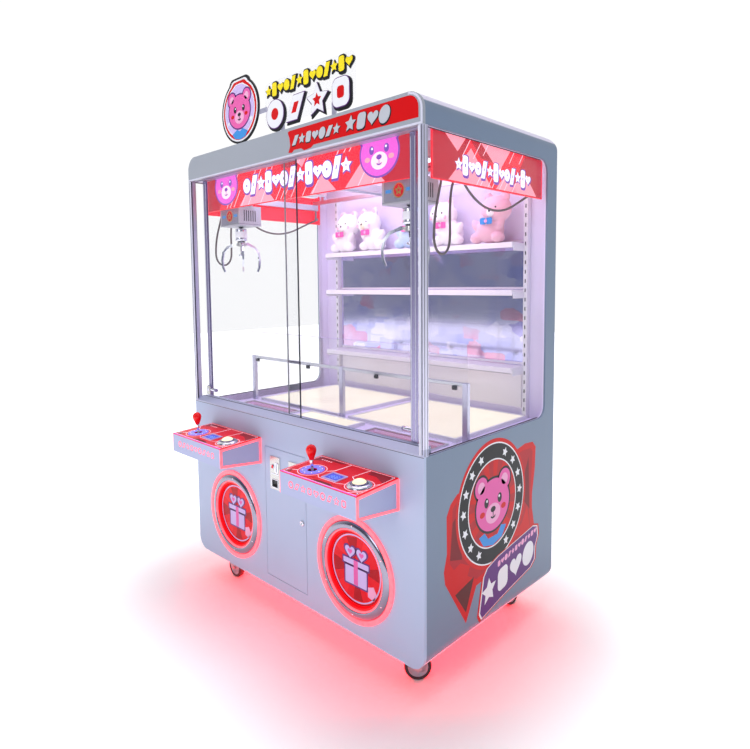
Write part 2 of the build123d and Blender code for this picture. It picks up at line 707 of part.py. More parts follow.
for side, sign in (("left", -1), ("right", 1)):
    with BuildPart() as bridge:
        with Locations((sign * 347, FRONT + CLAW_Y, (BEAM_Z0 + BEAM_Z1) / 2)):
            Box(622, 36, BEAM_Z1 - BEAM_Z0)
        with Locations((sign * 671, FRONT + CLAW_Y, 1809.25)):
            Box(30, 80, 45.5)
        with Locations((sign * 28, FRONT + CLAW_Y, 1809)):
            Box(32, 80, 46)
        with Locations(
            (sign * 653.5, FRONT + CLAW_Y - 25, 1853),
            (sign * 653.5, FRONT + CLAW_Y + 25, 1853),
            (sign * 45.5, FRONT + CLAW_Y - 25, 1853),
            (sign * 45.5, FRONT + CLAW_Y + 25, 1853),
        ):
            Box(7, 20, 54)
        with Locations(
            (sign * 661, FRONT + CLAW_Y - 25, 1874),
            (sign * 661, FRONT + CLAW_Y + 25, 1874),
            (sign * 38, FRONT + CLAW_Y - 25, 1874),
            (sign * 38, FRONT + CLAW_Y + 25, 1874),
        ):
            Box(20, 14, 12)
    bridge.part.label = "bridge_" + side
    export_step(bridge.part, "parts/bridge_" + side + ".step")

    with BuildPart() as trolley:
        with Locations((sign * CLAW_X, FRONT + CLAW_Y, (MOTOR_Z0 + MOTOR_Z1) / 2)):
            Box(160, 120, MOTOR_Z1 - MOTOR_Z0)
        with Locations(
            (sign * CLAW_X, FRONT + CLAW_Y - 24, 1817),
            (sign * CLAW_X, FRONT + CLAW_Y + 24, 1817),
        ):
            Box(120, 6, 54)
        with Locations(
            (sign * CLAW_X - 45, FRONT + CLAW_Y, 1838),
            (sign * CLAW_X + 45, FRONT + CLAW_Y, 1838),
        ):
            Box(14, 44, 12)
        with Locations((sign * CLAW_X, FRONT + CLAW_Y, (MOTOR_Z0 + MOTOR_Z1) / 2)):
            Cylinder(6, 100, mode=Mode.SUBTRACT)
    trolley.part.label = "trolley_" + side
    export_step(trolley.part, "parts/trolley_" + side + ".step")

    with BuildPart() as hoist_cord:
        with Locations((sign * CLAW_X, FRONT + CLAW_Y, (MOTOR_Z1 + CLAW_TOP) / 2)):
            Cylinder(1.5, MOTOR_Z1 - CLAW_TOP)
    hoist_cord.part.label = "hoist_cord_" + side
    export_step(hoist_cord.part, "parts/hoist_cord_" + side + ".step")

    with BuildPart() as claw_head:
        with Locations((sign * CLAW_X, FRONT + CLAW_Y, CLAW_TOP - 30)):
            Cylinder(27, 60)
        with Locations((sign * CLAW_X, FRONT + CLAW_Y, CLAW_HUB + 4)):
            Cylinder(18.4, 28)
        with Locations((sign * CLAW_X, FRONT + CLAW_Y, CLAW_HUB - 33)):
            Cylinder(5, 50)
        with Locations((sign * CLAW_X, FRONT + CLAW_Y, CLAW_HUB - 56)):
            Cylinder(13, 6)
        for angle in (90, 210, 330):
            ear = Plane(
                origin=(sign * CLAW_X, FRONT + CLAW_Y, CLAW_HUB),
                x_dir=(math.cos(math.radians(angle)), math.sin(math.radians(angle)), 0),
                z_dir=(math.sin(math.radians(angle)), -math.cos(math.radians(angle)), 0),
            )
            for offset in (4.4, -6.6):
                with BuildSketch(ear.offset(offset)):
                    with BuildLine():
                        Polyline(
                            (14, -9),
                            (14, 8),
                            (FINGER_R - 1, 5),
                            (FINGER_R + 4, 3.5),
                            (FINGER_R + 4, -3.5),
                            (FINGER_R - 1, -6),
                            close=True,
                        )
                    make_face()
                    with Locations((FINGER_R, 0)):
                        Circle(2.55, mode=Mode.SUBTRACT)
                extrude(amount=2.2)
    claw_head.part.label = "claw_head_" + side
    export_step(claw_head.part, "parts/claw_head_" + side + ".step")

    for number, angle in ((1, 90), (2, 210), (3, 330)):
        along = (math.cos(math.radians(angle)), math.sin(math.radians(angle)), 0)
        across = (math.sin(math.radians(angle)), -math.cos(math.radians(angle)), 0)
        radial = Plane(
            origin=(sign * CLAW_X, FRONT + CLAW_Y, CLAW_HUB),
            x_dir=along,
            z_dir=across,
        )
        with BuildPart() as finger:
            with BuildSketch(radial.offset(4)):
                with BuildLine():
                    Polyline(
                        (FINGER_R - 3, -5),
                        (FINGER_R - 3, 6),
                        (FINGER_R + 8, 9),
                        (76, -9),
                        (100, -36),
                        (107, -76),
                        (103, -110),
                        (92, -133),
                        (86, -130),
                        (95, -106),
                        (98, -76),
                        (91, -41),
                        (69, -18),
                        (FINGER_R + 6, -5),
                        close=True,
                    )
                make_face()
            extrude(amount=-8)
            with Locations(radial):
                with Locations((FINGER_R, 0, 0)):
                    Cylinder(2.5, 14)
        finger.part.label = "claw_finger_" + side + "_" + str(number)
        export_step(finger.part, "parts/claw_finger_" + side + "_" + str(number) + ".step")

# Supply cables of the gantries, hung along each side wall.
CABLE_R = 4.4
CABLE_ROUTE = (
    (150, 1785.5),
    (149, 1768),
    (136, 1725),
    (117, 1660),
    (109, 1600),
    (110, 1552),
    (134, 1522),
    (170, 1522),
    (195, 1552),
    (198, 1600),
    (196, 1670),
    (202, 1735),
    (217, 1776),
    (240, 1794),
    (268, 1782),
    (310, 1742),
    (385, 1704),
    (470, 1690),
    (560, 1702),
    (650, 1740),
    (720, 1771),
    (760, 1785),
)
route_runs = [math.dist(a, b) for a, b in zip(CABLE_ROUTE, CABLE_ROUTE[1:])]
route_radii = []
for before, here, after, run_a, run_b in zip(
    CABLE_ROUTE, CABLE_ROUTE[1:], CABLE_ROUTE[2:], route_runs, route_runs[1:]
):
    heading_in = math.atan2(here[1] - before[1], here[0] - before[0])
    heading_out = math.atan2(after[1] - here[1], after[0] - here[0])
    turn = abs((heading_out - heading_in + math.pi) % (2 * math.pi) - math.pi)
    route_radii.append(0.45 * min(run_a, run_b) / math.tan(turn / 2))
print("cable radii", [round(r) for r in route_radii])
cable_length = 0
with BuildPart() as festoon_cables:
    for sign in (-1, 1):
        with BuildLine() as cable_path:
            FilletPolyline(
                *[(sign * 676, FRONT + y, z) for y, z in CABLE_ROUTE],
                radius=route_radii,
            )
        cable_wire = cable_path.wires()[0]
        cable_length = cable_wire.length
        with BuildSketch(Plane(origin=(sign * 676, FRONT + 150, 1785.5), z_dir=(0, -1, -17.5))):
            Circle(CABLE_R)
        sweep(path=cable_wire)
    with Locations((-676, FRONT + 756, 1788), (676, FRONT + 756, 1788)):
        Box(14, 16, 14)
    with Locations((-676, FRONT + 753, 1811.5), (676, FRONT + 753, 1811.5)):
        Box(8, 8, 47)
print("cable length", round(cable_length))
print("cable volume", round(2 * cable_length * math.pi * CABLE_R**2), round(festoon_cables.part.volume))
festoon_cables.part.label = "festoon_cables"
export_step(festoon_cables.part, "parts/festoon_cables.step")

# ---- casters ---------------------------------------------------------------
for side, caster_x, caster_y, heading in FRONT_CASTERS:
    along = (math.cos(math.radians(heading)), math.sin(math.radians(heading)), 0)
    across = (math.sin(math.radians(heading)), -math.cos(math.radians(heading)), 0)
    rolling = Plane(origin=(caster_x, FRONT + caster_y, 0), x_dir=along, z_dir=across)
    with BuildPart() as fork:
        with Locations((caster_x, FRONT + caster_y, 113)):
            Cylinder(32, 16)
        with BuildSketch(rolling.offset(-21)):
            with BuildLine():
                Polyline(
                    (-24, 108),
                    (-24, 96),
                    (TRAIL - 12, 42),
                    (TRAIL + 12, 42),
                    (TRAIL + 14, 96),
                    (TRAIL + 10, 108),
                    close=True,
                )
            make_face()
        extrude(amount=42)
        with BuildSketch(rolling.offset(-17)):
            with Locations((TRAIL, 52)):
                Rectangle(140, 106)
        extrude(amount=34, mode=Mode.SUBTRACT)
        with BuildSketch(rolling.offset(-21)):
            with Locations((TRAIL, WHEEL_R)):
                Circle(6)
        extrude(amount=42)
    fork.part.label = "caster_fork_" + side
    export_step(fork.part, "parts/caster_fork_" + side + ".step")

    with BuildPart() as wheel:
        with BuildSketch(rolling.offset(-15)):
            with Locations((TRAIL, WHEEL_R)):
                Circle(WHEEL_R)
                Circle(6.05, mode=Mode.SUBTRACT)
        extrude(amount=30)
    wheel.part.label = "front_wheel_" + side
    export_step(wheel.part, "parts/front_wheel_" + side + ".step")

with BuildPart() as rear_caster_forks:
    for sign in (-1, 1):
        caster_x = sign * REAR_CASTER_X
        with Locations((caster_x, FRONT + REAR_CASTER_Y, 113)):
            Box(60, 84, 16)
        with BuildSketch(Plane.YZ.offset(caster_x - 21)):
            with BuildLine():
                Polyline(
                    (FRONT + REAR_CASTER_Y - 30, 108),
                    (FRONT + REAR_CASTER_Y - 13, 42),
                    (FRONT + REAR_CASTER_Y + 13, 42),
                    (FRONT + REAR_CASTER_Y + 30, 108),
                    close=True,
                )
            make_face()
        extrude(amount=42)
        with BuildSketch(Plane.YZ.offset(caster_x - 17)):
            with Locations((FRONT + REAR_CASTER_Y, 52)):
                Rectangle(140, 106)
        extrude(amount=34, mode=Mode.SUBTRACT)
        with BuildSketch(Plane.YZ.offset(caster_x - 21)):
            with Locations((FRONT + REAR_CASTER_Y, WHEEL_R)):
                Circle(6)
        extrude(amount=42)
rear_caster_forks.part.label = "rear_caster_forks"
export_step(rear_caster_forks.part, "parts/rear_caster_forks.step")

for side, sign in (("left", -1), ("right", 1)):
    with BuildPart() as rear_wheel:
        with BuildSketch(Plane.YZ.offset(sign * REAR_CASTER_X - 15)):
            with Locations((FRONT + REAR_CASTER_Y, WHEEL_R)):
                Circle(WHEEL_R)
                Circle(6.05, mode=Mode.SUBTRACT)
        extrude(amount=30)
    rear_wheel.part.label = "rear_wheel_" + side
    export_step(rear_wheel.part, "parts/rear_wheel_" + side + ".step")
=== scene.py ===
"""Two-player claw crane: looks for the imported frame. Metres, X across, Y front to rear, Z up."""

import math
import random

import bmesh
import bpy
from mathutils import Matrix, Vector


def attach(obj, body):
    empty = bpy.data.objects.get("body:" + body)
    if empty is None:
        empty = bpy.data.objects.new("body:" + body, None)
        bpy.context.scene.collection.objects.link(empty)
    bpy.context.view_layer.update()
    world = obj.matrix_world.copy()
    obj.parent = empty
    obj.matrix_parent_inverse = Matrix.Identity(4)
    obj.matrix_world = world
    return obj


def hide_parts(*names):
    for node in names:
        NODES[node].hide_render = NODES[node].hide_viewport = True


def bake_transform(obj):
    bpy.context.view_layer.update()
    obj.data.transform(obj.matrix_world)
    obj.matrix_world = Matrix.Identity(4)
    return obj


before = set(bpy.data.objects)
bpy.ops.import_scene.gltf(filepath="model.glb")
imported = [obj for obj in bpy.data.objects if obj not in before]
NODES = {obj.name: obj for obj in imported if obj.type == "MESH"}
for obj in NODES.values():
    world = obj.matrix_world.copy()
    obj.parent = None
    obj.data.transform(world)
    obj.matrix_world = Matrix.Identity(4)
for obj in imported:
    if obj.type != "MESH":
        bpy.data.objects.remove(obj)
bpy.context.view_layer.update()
FRONT = -0.338
BOX_X = {"left": -0.375, "right": 0.415}
PORT_X = {"left": -0.39, "right": 0.39}
PORT_Z = 0.379
SIDES = (("left", -1), ("right", 1))
WINDOW_TOP = 1.914
DECK_Z = 0.83
SHELF_Z = (1.588, 1.386, 1.054)
CLAW_X, CLAW_Y, CLAW_TOP, MOTOR_TOP = 0.53, FRONT + 0.16, 1.692, 1.79
CABLE_X, CABLE_NEAR, CABLE_FAR = 0.676, FRONT + 0.216, FRONT + 0.76
FRONT_CASTER, REAR_CASTER, WHEEL_R = (0.57, -0.248), (0.575, 0.442), 0.05
CASTER_TRAIL = 0.035

scene = bpy.context.scene
scene.view_settings.view_transform = "Standard"
scene.view_settings.look = "None"


# ---- materials -------------------------------------------------------------
def principled(name):
    """A new material, its node tree and its main shader."""
    m = bpy.data.materials.new(name)
    m.use_nodes = True
    return m, m.node_tree, m.node_tree.nodes["Principled BSDF"]


def noise(tree, scale, detail=4.0, stretch=None):
    """Noise over the object's own coordinates, drawn out along the axes by stretch."""
    spot = tree.nodes.new("ShaderNodeTexCoord").outputs["Object"]
    tex = tree.nodes.new("ShaderNodeTexNoise")
    tex.inputs["Scale"].default_value = scale
    tex.inputs["Detail"].default_value = detail
    if stretch:
        mapping = tree.nodes.new("ShaderNodeMapping")
        mapping.inputs["Scale"].default_value = stretch
        tree.links.new(spot, mapping.inputs["Vector"])
        spot = mapping.outputs["Vector"]
    tree.links.new(spot, tex.inputs["Vector"])
    return tex.outputs["Fac"]


def object_axis(tree, axis):
    """One of the object's own coordinates, which are the frame's metres."""
    coord = tree.nodes.new("ShaderNodeTexCoord")
    split = tree.nodes.new("ShaderNodeSeparateXYZ")
    tree.links.new(coord.outputs["Object"], split.inputs["Vector"])
    return split.outputs[axis]


def spread(tree, value, low, high, start=0.0, end=1.0, smooth=False):
    """The value, carried from start..end to low..high."""
    span = tree.nodes.new("ShaderNodeMapRange")
    if smooth:
        span.interpolation_type = "SMOOTHSTEP"
    for key, number in (("From Min", start), ("From Max", end), ("To Min", low), ("To Max", high)):
        span.inputs[key].default_value = number
    tree.links.new(value, span.inputs["Value"])
    return span.outputs["Result"]


def vector_step(tree, operation, first, second=None):
    """One vector sum on a socket, with a fixed second value."""
    step = tree.nodes.new("ShaderNodeVectorMath")
    step.operation = operation
    tree.links.new(first, step.inputs[0])
    if second is not None:
        step.inputs[1].default_value = second
    return step


def mix_color(tree, factor, a, b, socket=None):
    """Colour a to b by the factor, into the socket if there is one."""
    mix = tree.nodes.new("ShaderNodeMix")
    mix.data_type = "RGBA"
    tree.links.new(factor, mix.inputs["Factor"])
    for key, value in (("A", a), ("B", b)):
        target = [i for i in mix.inputs if i.name == key and i.type == "RGBA"][0]
        if isinstance(value, bpy.types.NodeSocket):
            tree.links.new(value, target)
        else:
            target.default_value = (*value, 1)
    out = [o for o in mix.outputs if o.type == "RGBA"][0]
    if socket is not None:
        tree.links.new(out, socket)
    return out


def drifting(tree, factor, color, vary, socket=None):
    """A colour that wanders a little to each side of itself."""
    deep, pale = (tuple(min(1.0, x * k) for x in color) for k in (1 - vary, 1 + vary))
    return mix_color(tree, factor, deep, pale, socket)


def grain_surface(tree, p, fine, low, high, bump):
    """Roughness from low to high, and a bump, out of the same fine noise."""
    tree.links.new(spread(tree, fine, low, high), p.inputs["Roughness"])
    b = tree.nodes.new("ShaderNodeBump")
    b.inputs["Strength"].default_value = bump
    b.inputs["Distance"].default_value = 0.001
    tree.links.new(fine, b.inputs["Height"])
    tree.links.new(b.outputs["Normal"], p.inputs["Normal"])


def paint(name, color, rough=0.4, metal=0.0, grain=900.0, bump=0.04, vary=0.06,
          stretch=None, glow=None, glow_strength=0.0, sheen=0.0, gloss=0.4):
    """Colour and roughness that drift over the surface, with a fine bump."""
    m, tree, p = principled(name)
    drifting(tree, noise(tree, 2.2, 3.0), color, vary, p.inputs["Base Color"])
    grain_surface(
        tree, p, noise(tree, grain, 3.0, stretch), max(0.02, rough - 0.08), min(1.0, rough + 0.08), bump
    )
    p.inputs["Metallic"].default_value = metal
    p.inputs["Specular IOR Level"].default_value = gloss
    if sheen:
        p.inputs["Sheen Weight"].default_value = sheen
        p.inputs["Sheen Roughness"].default_value = 0.5
    if glow:
        p.inputs["Emission Color"].default_value = (*glow, 1)
        p.inputs["Emission Strength"].default_value = glow_strength
    return m


def red_sheet(name, color, rough, grain, bump, glow, glow_strength, gloss=0.15, vary=0.06):
    """Glossy red sheet or moulding with a little painted glow, which stands in for light from the lamps
    around it.
    """
    return paint(
        name, color, rough, grain=grain, bump=bump, vary=vary, gloss=gloss, glow=glow,
        glow_strength=glow_strength
    )


def lit(name, color, strength, body=None, vary=0.05, rough=0.25):
    """A back-lit diffuser: printed colour with light coming through unevenly."""
    m, tree, p = principled(name)
    drift = noise(tree, 5.0, 2.0)
    drifting(tree, drift, body or color, vary, p.inputs["Base Color"])
    drifting(tree, drift, color, vary, p.inputs["Emission Color"])
    p.inputs["Emission Strength"].default_value = strength
    p.inputs["Roughness"].default_value = rough
    return m


def two_zone(name, axis, edge, inner, outer, rough=0.4, coat=0.0, absolute=False, width=0.003):
    """Paint of two colours, split at a coordinate, such as the inside and outside of a shell."""
    m, tree, p = principled(name)
    value = object_axis(tree, axis)
    if absolute:
        size = tree.nodes.new("ShaderNodeMath")
        size.operation = "ABSOLUTE"
        tree.links.new(value, size.inputs[0])
        value = size.outputs[0]
    ramp = spread(tree, value, 0.0, 1.0, edge - width / 2, edge + width / 2)
    drift = noise(tree, 2.0, 3.0)
    low = drifting(tree, drift, inner, 0.04)
    high = drifting(tree, drift, outer, 0.05)
    mix_color(tree, ramp, low, high, p.inputs["Base Color"])
    grain_surface(tree, p, noise(tree, 700, 3.0), rough - 0.06, rough + 0.06, 0.05)
    p.inputs["Coat Weight"].default_value = coat
    p.inputs["Coat Roughness"].default_value = 0.1
    return m


def clear(name, color, low, high, rough=0.02):
    """Clear sheet: nearly invisible face on, brighter and more reflective at a grazing angle."""
    m, tree, p = principled(name)
    facing = tree.nodes.new("ShaderNodeLayerWeight")
    facing.inputs["Blend"].default_value = 0.12
    haze = tree.nodes.new("ShaderNodeMath")
    haze.operation = "MULTIPLY_ADD"
    haze.inputs[1].default_value = 0.008
    tree.links.new(noise(tree, 6.0, 4.0), haze.inputs[0])
    tree.links.new(spread(tree, facing.outputs["Facing"], low, high), haze.inputs[2])
    tree.links.new(haze.outputs[0], p.inputs["Alpha"])
    p.inputs["Base Color"].default_value = (*color, 1)
    p.inputs["Roughness"].default_value = rough
    p.inputs["Specular IOR Level"].default_value = 0.8
    return m


def frame_paint():
    """Window frame: sill painted like the front, rails and posts in pale satin metal."""
    m, tree, p = principled("frame_metal")
    above = spread(tree, object_axis(tree, "Z"), 0.0, 1.0, 0.8875, 0.8885)
    fine = noise(tree, 300.0, 3.0)
    sill = mix_color(tree, fine, (0.46, 0.48, 0.65), (0.5, 0.52, 0.7))
    mix_color(tree, above, sill, (0.66, 0.65, 0.8), p.inputs["Base Color"])
    tree.links.new(spread(tree, above, 0.0, 0.7), p.inputs["Metallic"])
    tree.links.new(spread(tree, fine, 0.28, 0.42), p.inputs["Roughness"])
    return m


def chute_paint():
    """Prize chute: pale like the deck at the top, and red lower down, with a painted red glow there that
    stands in for light from the port lamp.
    """
    m, tree, p = principled("chute_paint")
    above = spread(tree, object_axis(tree, "Z"), 0.0, 1.0, 0.56, 0.64)
    red = mix_color(tree, noise(tree, 40.0, 3.0), (0.68, 0.005, 0.01), (0.8, 0.007, 0.014))
    mix_color(tree, above, red, (0.74, 0.66, 0.86), p.inputs["Base Color"])
    # painted red glow lower down, in place of light from the port lamp
    tree.links.new(spread(tree, above, 0.45, 0.0), p.inputs["Emission Strength"])
    p.inputs["Emission Color"].default_value = (1.0, 0.006, 0.012, 1)
    p.inputs["Roughness"].default_value = 0.42
    p.inputs["Specular IOR Level"].default_value = 0.2
    return m


def mirror_glass():
    """Silvered sheet with a painted reflection: the cloudy, blocky look of a bright room seen in it,
    painted into its colour.
    """
    m, tree, p = principled("mirror")
    coord = tree.nodes.new("ShaderNodeTexCoord")
    mapping = tree.nodes.new("ShaderNodeMapping")
    mapping.inputs["Scale"].default_value = (7.0, 1.0, 11.0)
    tree.links.new(coord.outputs["Object"], mapping.inputs["Vector"])
    cells = tree.nodes.new("ShaderNodeTexVoronoi")
    cells.distance = "CHEBYCHEV"
    cells.inputs["Scale"].default_value = 1.6
    tree.links.new(mapping.outputs["Vector"], cells.inputs["Vector"])
    split = tree.nodes.new("ShaderNodeSeparateColor")
    tree.links.new(cells.outputs["Color"], split.inputs["Color"])
    # painted reflection: blocky cells of room colour, some tinted rosy, blurred into pale lilac
    base = mix_color(tree, split.outputs["Red"], (0.42, 0.42, 0.86), (0.86, 0.8, 0.98))
    rosy = spread(tree, split.outputs["Green"], 0.0, 0.6, 0.8, 0.9)
    tinted = mix_color(tree, rosy, base, (0.85, 0.2, 0.36))
    soft = spread(tree, noise(tree, 3.0, 6.0), 0.0, 1.0, 0.4, 0.65)
    mix_color(tree, soft, tinted, (0.74, 0.7, 0.92), p.inputs["Base Color"])
    p.inputs["Metallic"].default_value = 1.0
    p.inputs["Roughness"].default_value = 0.09
    return m


def led_paint():
    """LED strip: red round the ports, boxes and base, and white under the ceiling."""
    m, tree, p = principled("led_strip")
    ceiling = spread(tree, object_axis(tree, "Z"), 0.0, 1.0, 1.5, 1.6)
    warm = mix_color(tree, noise(tree, 60.0, 1.0), (1.0, 0.07, 0.1), (1.0, 0.13, 0.16))
    mix_color(tree, ceiling, warm, (0.95, 0.92, 1.0), p.inputs["Emission Color"])
    mix_color(tree, ceiling, warm, (0.9, 0.9, 0.9), p.inputs["Base Color"])
    p.inputs["Emission Strength"].default_value = 1.6
    return m


def floor_paint():
    """White floor that brightens away from the machine, so that no horizon shows."""
    m, tree, p = principled("floor_white")
    mix_color(tree, noise(tree, 0.7, 2.0), (0.93, 0.93, 0.935), (0.95, 0.95, 0.955), p.inputs["Base Color"])
    coord = tree.nodes.new("ShaderNodeTexCoord")
    size = vector_step(tree, "ABSOLUTE", coord.outputs["Object"])
    past = vector_step(tree, "SUBTRACT", size.outputs["Vector"], (0.6, 0.32, 0.0))
    outside = vector_step(tree, "MAXIMUM", past.outputs["Vector"], (0.0, 0.0, 0.0))
    reach = vector_step(tree, "LENGTH", outside.outputs["Vector"])
    rise = spread(tree, reach.outputs["Value"], 0.0, 0.9, 0.1, 1.0, smooth=True)
    tree.links.new(rise, p.inputs["Emission Strength"])
    p.inputs["Emission Color"].default_value = (1.0, 1.0, 1.0, 1.0)
    p.inputs["Roughness"].default_value = 0.8
    p.inputs["Specular IOR Level"].default_value = 0.1
    return m


WHITE_IN = (0.8, 0.74, 0.92)
M = {
    # The outer colour of the side and back panels is the front's lilac-blue paint, painted darker as
    # painted shade on the faces turned from the light. WHITE_IN is the inside faces' own white.
    "side": two_zone("side_paint_painted_shade", "X", 0.7125, WHITE_IN, (0.16, 0.222, 0.325), 0.44, 0.1, True),
    "back": two_zone("back_paint_painted_shade", "Y", 0.531, WHITE_IN, (0.2, 0.26, 0.37), 0.45, 0.05),
    "front": paint("front_paint", (0.45, 0.52, 0.70), 0.42, grain=700, gloss=0.35),
    "header": paint("header_paint", (0.34, 0.365, 0.42), 0.34, grain=700, gloss=0.5),
    "trim": paint("pale_trim", (0.66, 0.66, 0.78), 0.3, grain=500),
    "base": paint("base_board", (0.1, 0.1, 0.12), 0.6, grain=300, bump=0.3),
    "alu": paint("satin_aluminium", (0.6, 0.59, 0.74), 0.3, 0.75, 260, 0.06, 0.05, stretch=(30, 30, 1)),
    "stile": paint("stile_aluminium", (0.34, 0.31, 0.5), 0.26, 0.7, 260, 0.06, 0.08, stretch=(30, 30, 1)),
    "frame": frame_paint(),
    "alu_x": paint(
        "satin_aluminium_x", (0.66, 0.67, 0.72), 0.32, 1.0, 260, 0.08, 0.05, stretch=(1, 30, 30)
    ),
    "alu_y": paint("satin_aluminium_y", (0.6, 0.61, 0.66), 0.34, 1.0, 260, 0.08, 0.05, stretch=(30, 1, 30)),
    "steel": paint("brushed_steel", (0.55, 0.54, 0.53), 0.28, 1.0, 300, 0.1, 0.06, stretch=(1, 30, 30)),
    "zinc": paint("zinc_plate", (0.5, 0.51, 0.54), 0.36, 1.0, 120, 0.12, 0.12),
    "chrome": paint("chrome", (0.7, 0.7, 0.78), 0.08, 1.0, 60, 0.0, 0.08),
    "ring_chrome": paint("ring_chrome", (0.3, 0.28, 0.36), 0.16, 1.0, 90, 0.03, 0.25),
    "gold": paint("gold", (0.75, 0.5, 0.12), 0.3, 1.0, 300, 0.05),
    "rubber": paint("tyre_rubber", (0.03, 0.03, 0.035), 0.6, grain=500, bump=0.3, vary=0.2),
    "gasket": paint("gasket", (0.03, 0.03, 0.05), 0.5, grain=400, bump=0.15),
    "grey_plastic": paint("grey_plastic", (0.22, 0.22, 0.25), 0.45, bump=0.25),
    "light_plastic": paint("light_plastic", (0.42, 0.42, 0.48), 0.4, bump=0.25),
    "black_plastic": paint("black_plastic", (0.02, 0.02, 0.024), 0.4, bump=0.25),
    "white_plastic": paint("white_plastic", (0.86, 0.84, 0.9), 0.35, grain=800, bump=0.12),
    "motor_grey": paint("motor_grey", (0.24, 0.24, 0.32), 0.4, grain=600, bump=0.1),
    "shelf": paint("shelf_laminate", (0.9, 0.86, 0.94), 0.35, grain=500, bump=0.08),
    # The deck's lilac glow is painted light, standing in for the light of the lamps and lit panels around
    # it.
    "deck": paint(
        "deck_laminate_painted_glow", (0.74, 0.66, 0.9), 0.36, grain=400, bump=0.1, glow=(0.75, 0.62, 1.0),
        glow_strength=0.18
    ),
    "box": paint("box_moulding", (0.44, 0.47, 0.7), 0.38, bump=0.12, gloss=0.3),
    # The small glow on the red overlay, stick, chute and flap sheets is painted light from the lamps around
    # them.
    "overlay": red_sheet("red_overlay", (0.7, 0.004, 0.012), 0.3, 1200, 0.05, (1.0, 0.004, 0.02), 0.22),
    "stick_red": red_sheet(
        "stick_red", (0.8, 0.003, 0.006), 0.16, 300, 0.0, (1.0, 0.002, 0.004), 0.1, 0.35, 0.04
    ),
    "chute_red": red_sheet(
        "chute_red", (0.75, 0.006, 0.012), 0.4, 500, 0.1, (1.0, 0.006, 0.012), 0.45, 0.2
    ),
    "flap": red_sheet("flap_red", (0.6, 0.004, 0.012), 0.25, 500, 0.04, (1.0, 0.004, 0.01), 0.16),
    "flap_light": red_sheet("flap_light_red", (0.72, 0.01, 0.02), 0.25, 500, 0.04, (1.0, 0.01, 0.02), 0.14),
    "flap_dark": red_sheet(
        "flap_dark_red", (0.36, 0.002, 0.008), 0.25, 500, 0.04, (1.0, 0.002, 0.006), 0.06
    ),
    "silver": paint("print_silver", (0.62, 0.64, 0.7), 0.3, 0.3, 1500, 0.02, gloss=0.2),
    "cable": paint("cable_sheath", (0.12, 0.09, 0.09), 0.5, grain=600, bump=0.2),
    "cord": paint("hoist_line", (0.02, 0.02, 0.02), 0.7, grain=1500, bump=0.8), "mirror": mirror_glass(),
    "chute": chute_paint(), "led_strip": led_paint(), "led_text": lit("led_text", (1.0, 0.1, 0.15), 1.1),
    "lit_red": lit("lit_red", (0.86, 0.012, 0.03), 0.9, (0.4, 0.01, 0.02)),
    "lit_dark": lit("lit_dark_red", (0.42, 0.004, 0.012), 0.9, (0.3, 0.01, 0.02)),
    "lit_pink": lit("lit_pink", (1.0, 0.28, 0.36), 0.9, (0.6, 0.2, 0.25)),
    "lit_pale": lit("lit_pale", (1.0, 0.56, 0.66), 1.0, (0.6, 0.4, 0.5)),
    "lit_white": lit("lit_white", (0.86, 0.84, 1.0), 1.0, (0.5, 0.5, 0.6)),
    "lit_purple": lit("lit_purple", (0.2, 0.05, 0.42), 0.8, (0.1, 0.04, 0.2)),
    "lit_magenta": lit("lit_magenta", (0.75, 0.1, 0.6), 0.9, (0.4, 0.05, 0.3)),
    "lit_blue": lit("lit_blue", (0.2, 0.45, 1.0), 0.8, (0.1, 0.2, 0.5)),
    "deck_light": lit("deck_light", (1.0, 0.86, 0.7), 0.82, (0.34, 0.3, 0.24), 0.12),
    "disc": lit("stick_disc", (0.2, 0.16, 0.9), 0.55, (0.2, 0.2, 0.7)),
    "screen": lit("display", (0.05, 0.08, 0.7), 0.75, (0.04, 0.04, 0.3)),
    "dome": lit("button_dome", (1.0, 0.8, 0.45), 0.8, (0.9, 0.75, 0.5)),
    "glass": clear("clear_glass", (0.42, 0.46, 0.58), 0.004, 0.3),
    "acrylic": clear("clear_acrylic", (0.62, 0.62, 0.82), 0.05, 0.4),
    "sign_clear": clear("sign_acrylic", (0.75, 0.75, 0.85), 0.06, 0.4),
}
for key, color, rough in (
    ("red", (0.62, 0.0012, 0.003), 0.35), ("mid_red", (0.45, 0.006, 0.016), 0.35),
    ("dark_red", (0.2, 0.005, 0.012), 0.35), ("brown", (0.1, 0.012, 0.012), 0.35),
    ("white", (0.82, 0.82, 0.86), 0.35), ("black", (0.012, 0.012, 0.016), 0.35),
    ("pink", (0.78, 0.12, 0.4), 0.35), ("pale_pink", (0.85, 0.4, 0.62), 0.35),
    ("purple", (0.12, 0.03, 0.2), 0.35), ("lilac", (0.6, 0.48, 0.82), 0.3),
    ("blue", (0.05, 0.28, 0.7), 0.35), ("yellow", (0.9, 0.72, 0.02), 0.3),
    ("cream", (0.86, 0.62, 0.42), 0.35), ("tan", (0.55, 0.26, 0.12), 0.35),
):
    M[key] = paint("print_" + key, color, rough, grain=1500, bump=0.02, gloss=0.2)
for key, color, vary in (
    ("plush_white", (0.9, 0.86, 0.9), 0.06), ("plush_pink", (0.88, 0.5, 0.62), 0.08),
    ("plush_blue", (0.5, 0.66, 0.86), 0.08), ("plush_cream", (0.88, 0.76, 0.56), 0.08),
):
    M[key] = paint(key, color, 0.9, grain=420, bump=1.0, vary=vary, sheen=0.6)


# ---- shapes ----------------------------------------------------------------
def circle(cx, cy, rx, ry=None, n=48):
    """A circle, or an oval with two radii."""
    ry = rx if ry is None else ry
    return [
        (cx + rx * math.cos(2 * math.pi * i / n), cy + ry * math.sin(2 * math.pi * i / n)) for i in range(n)
    ]


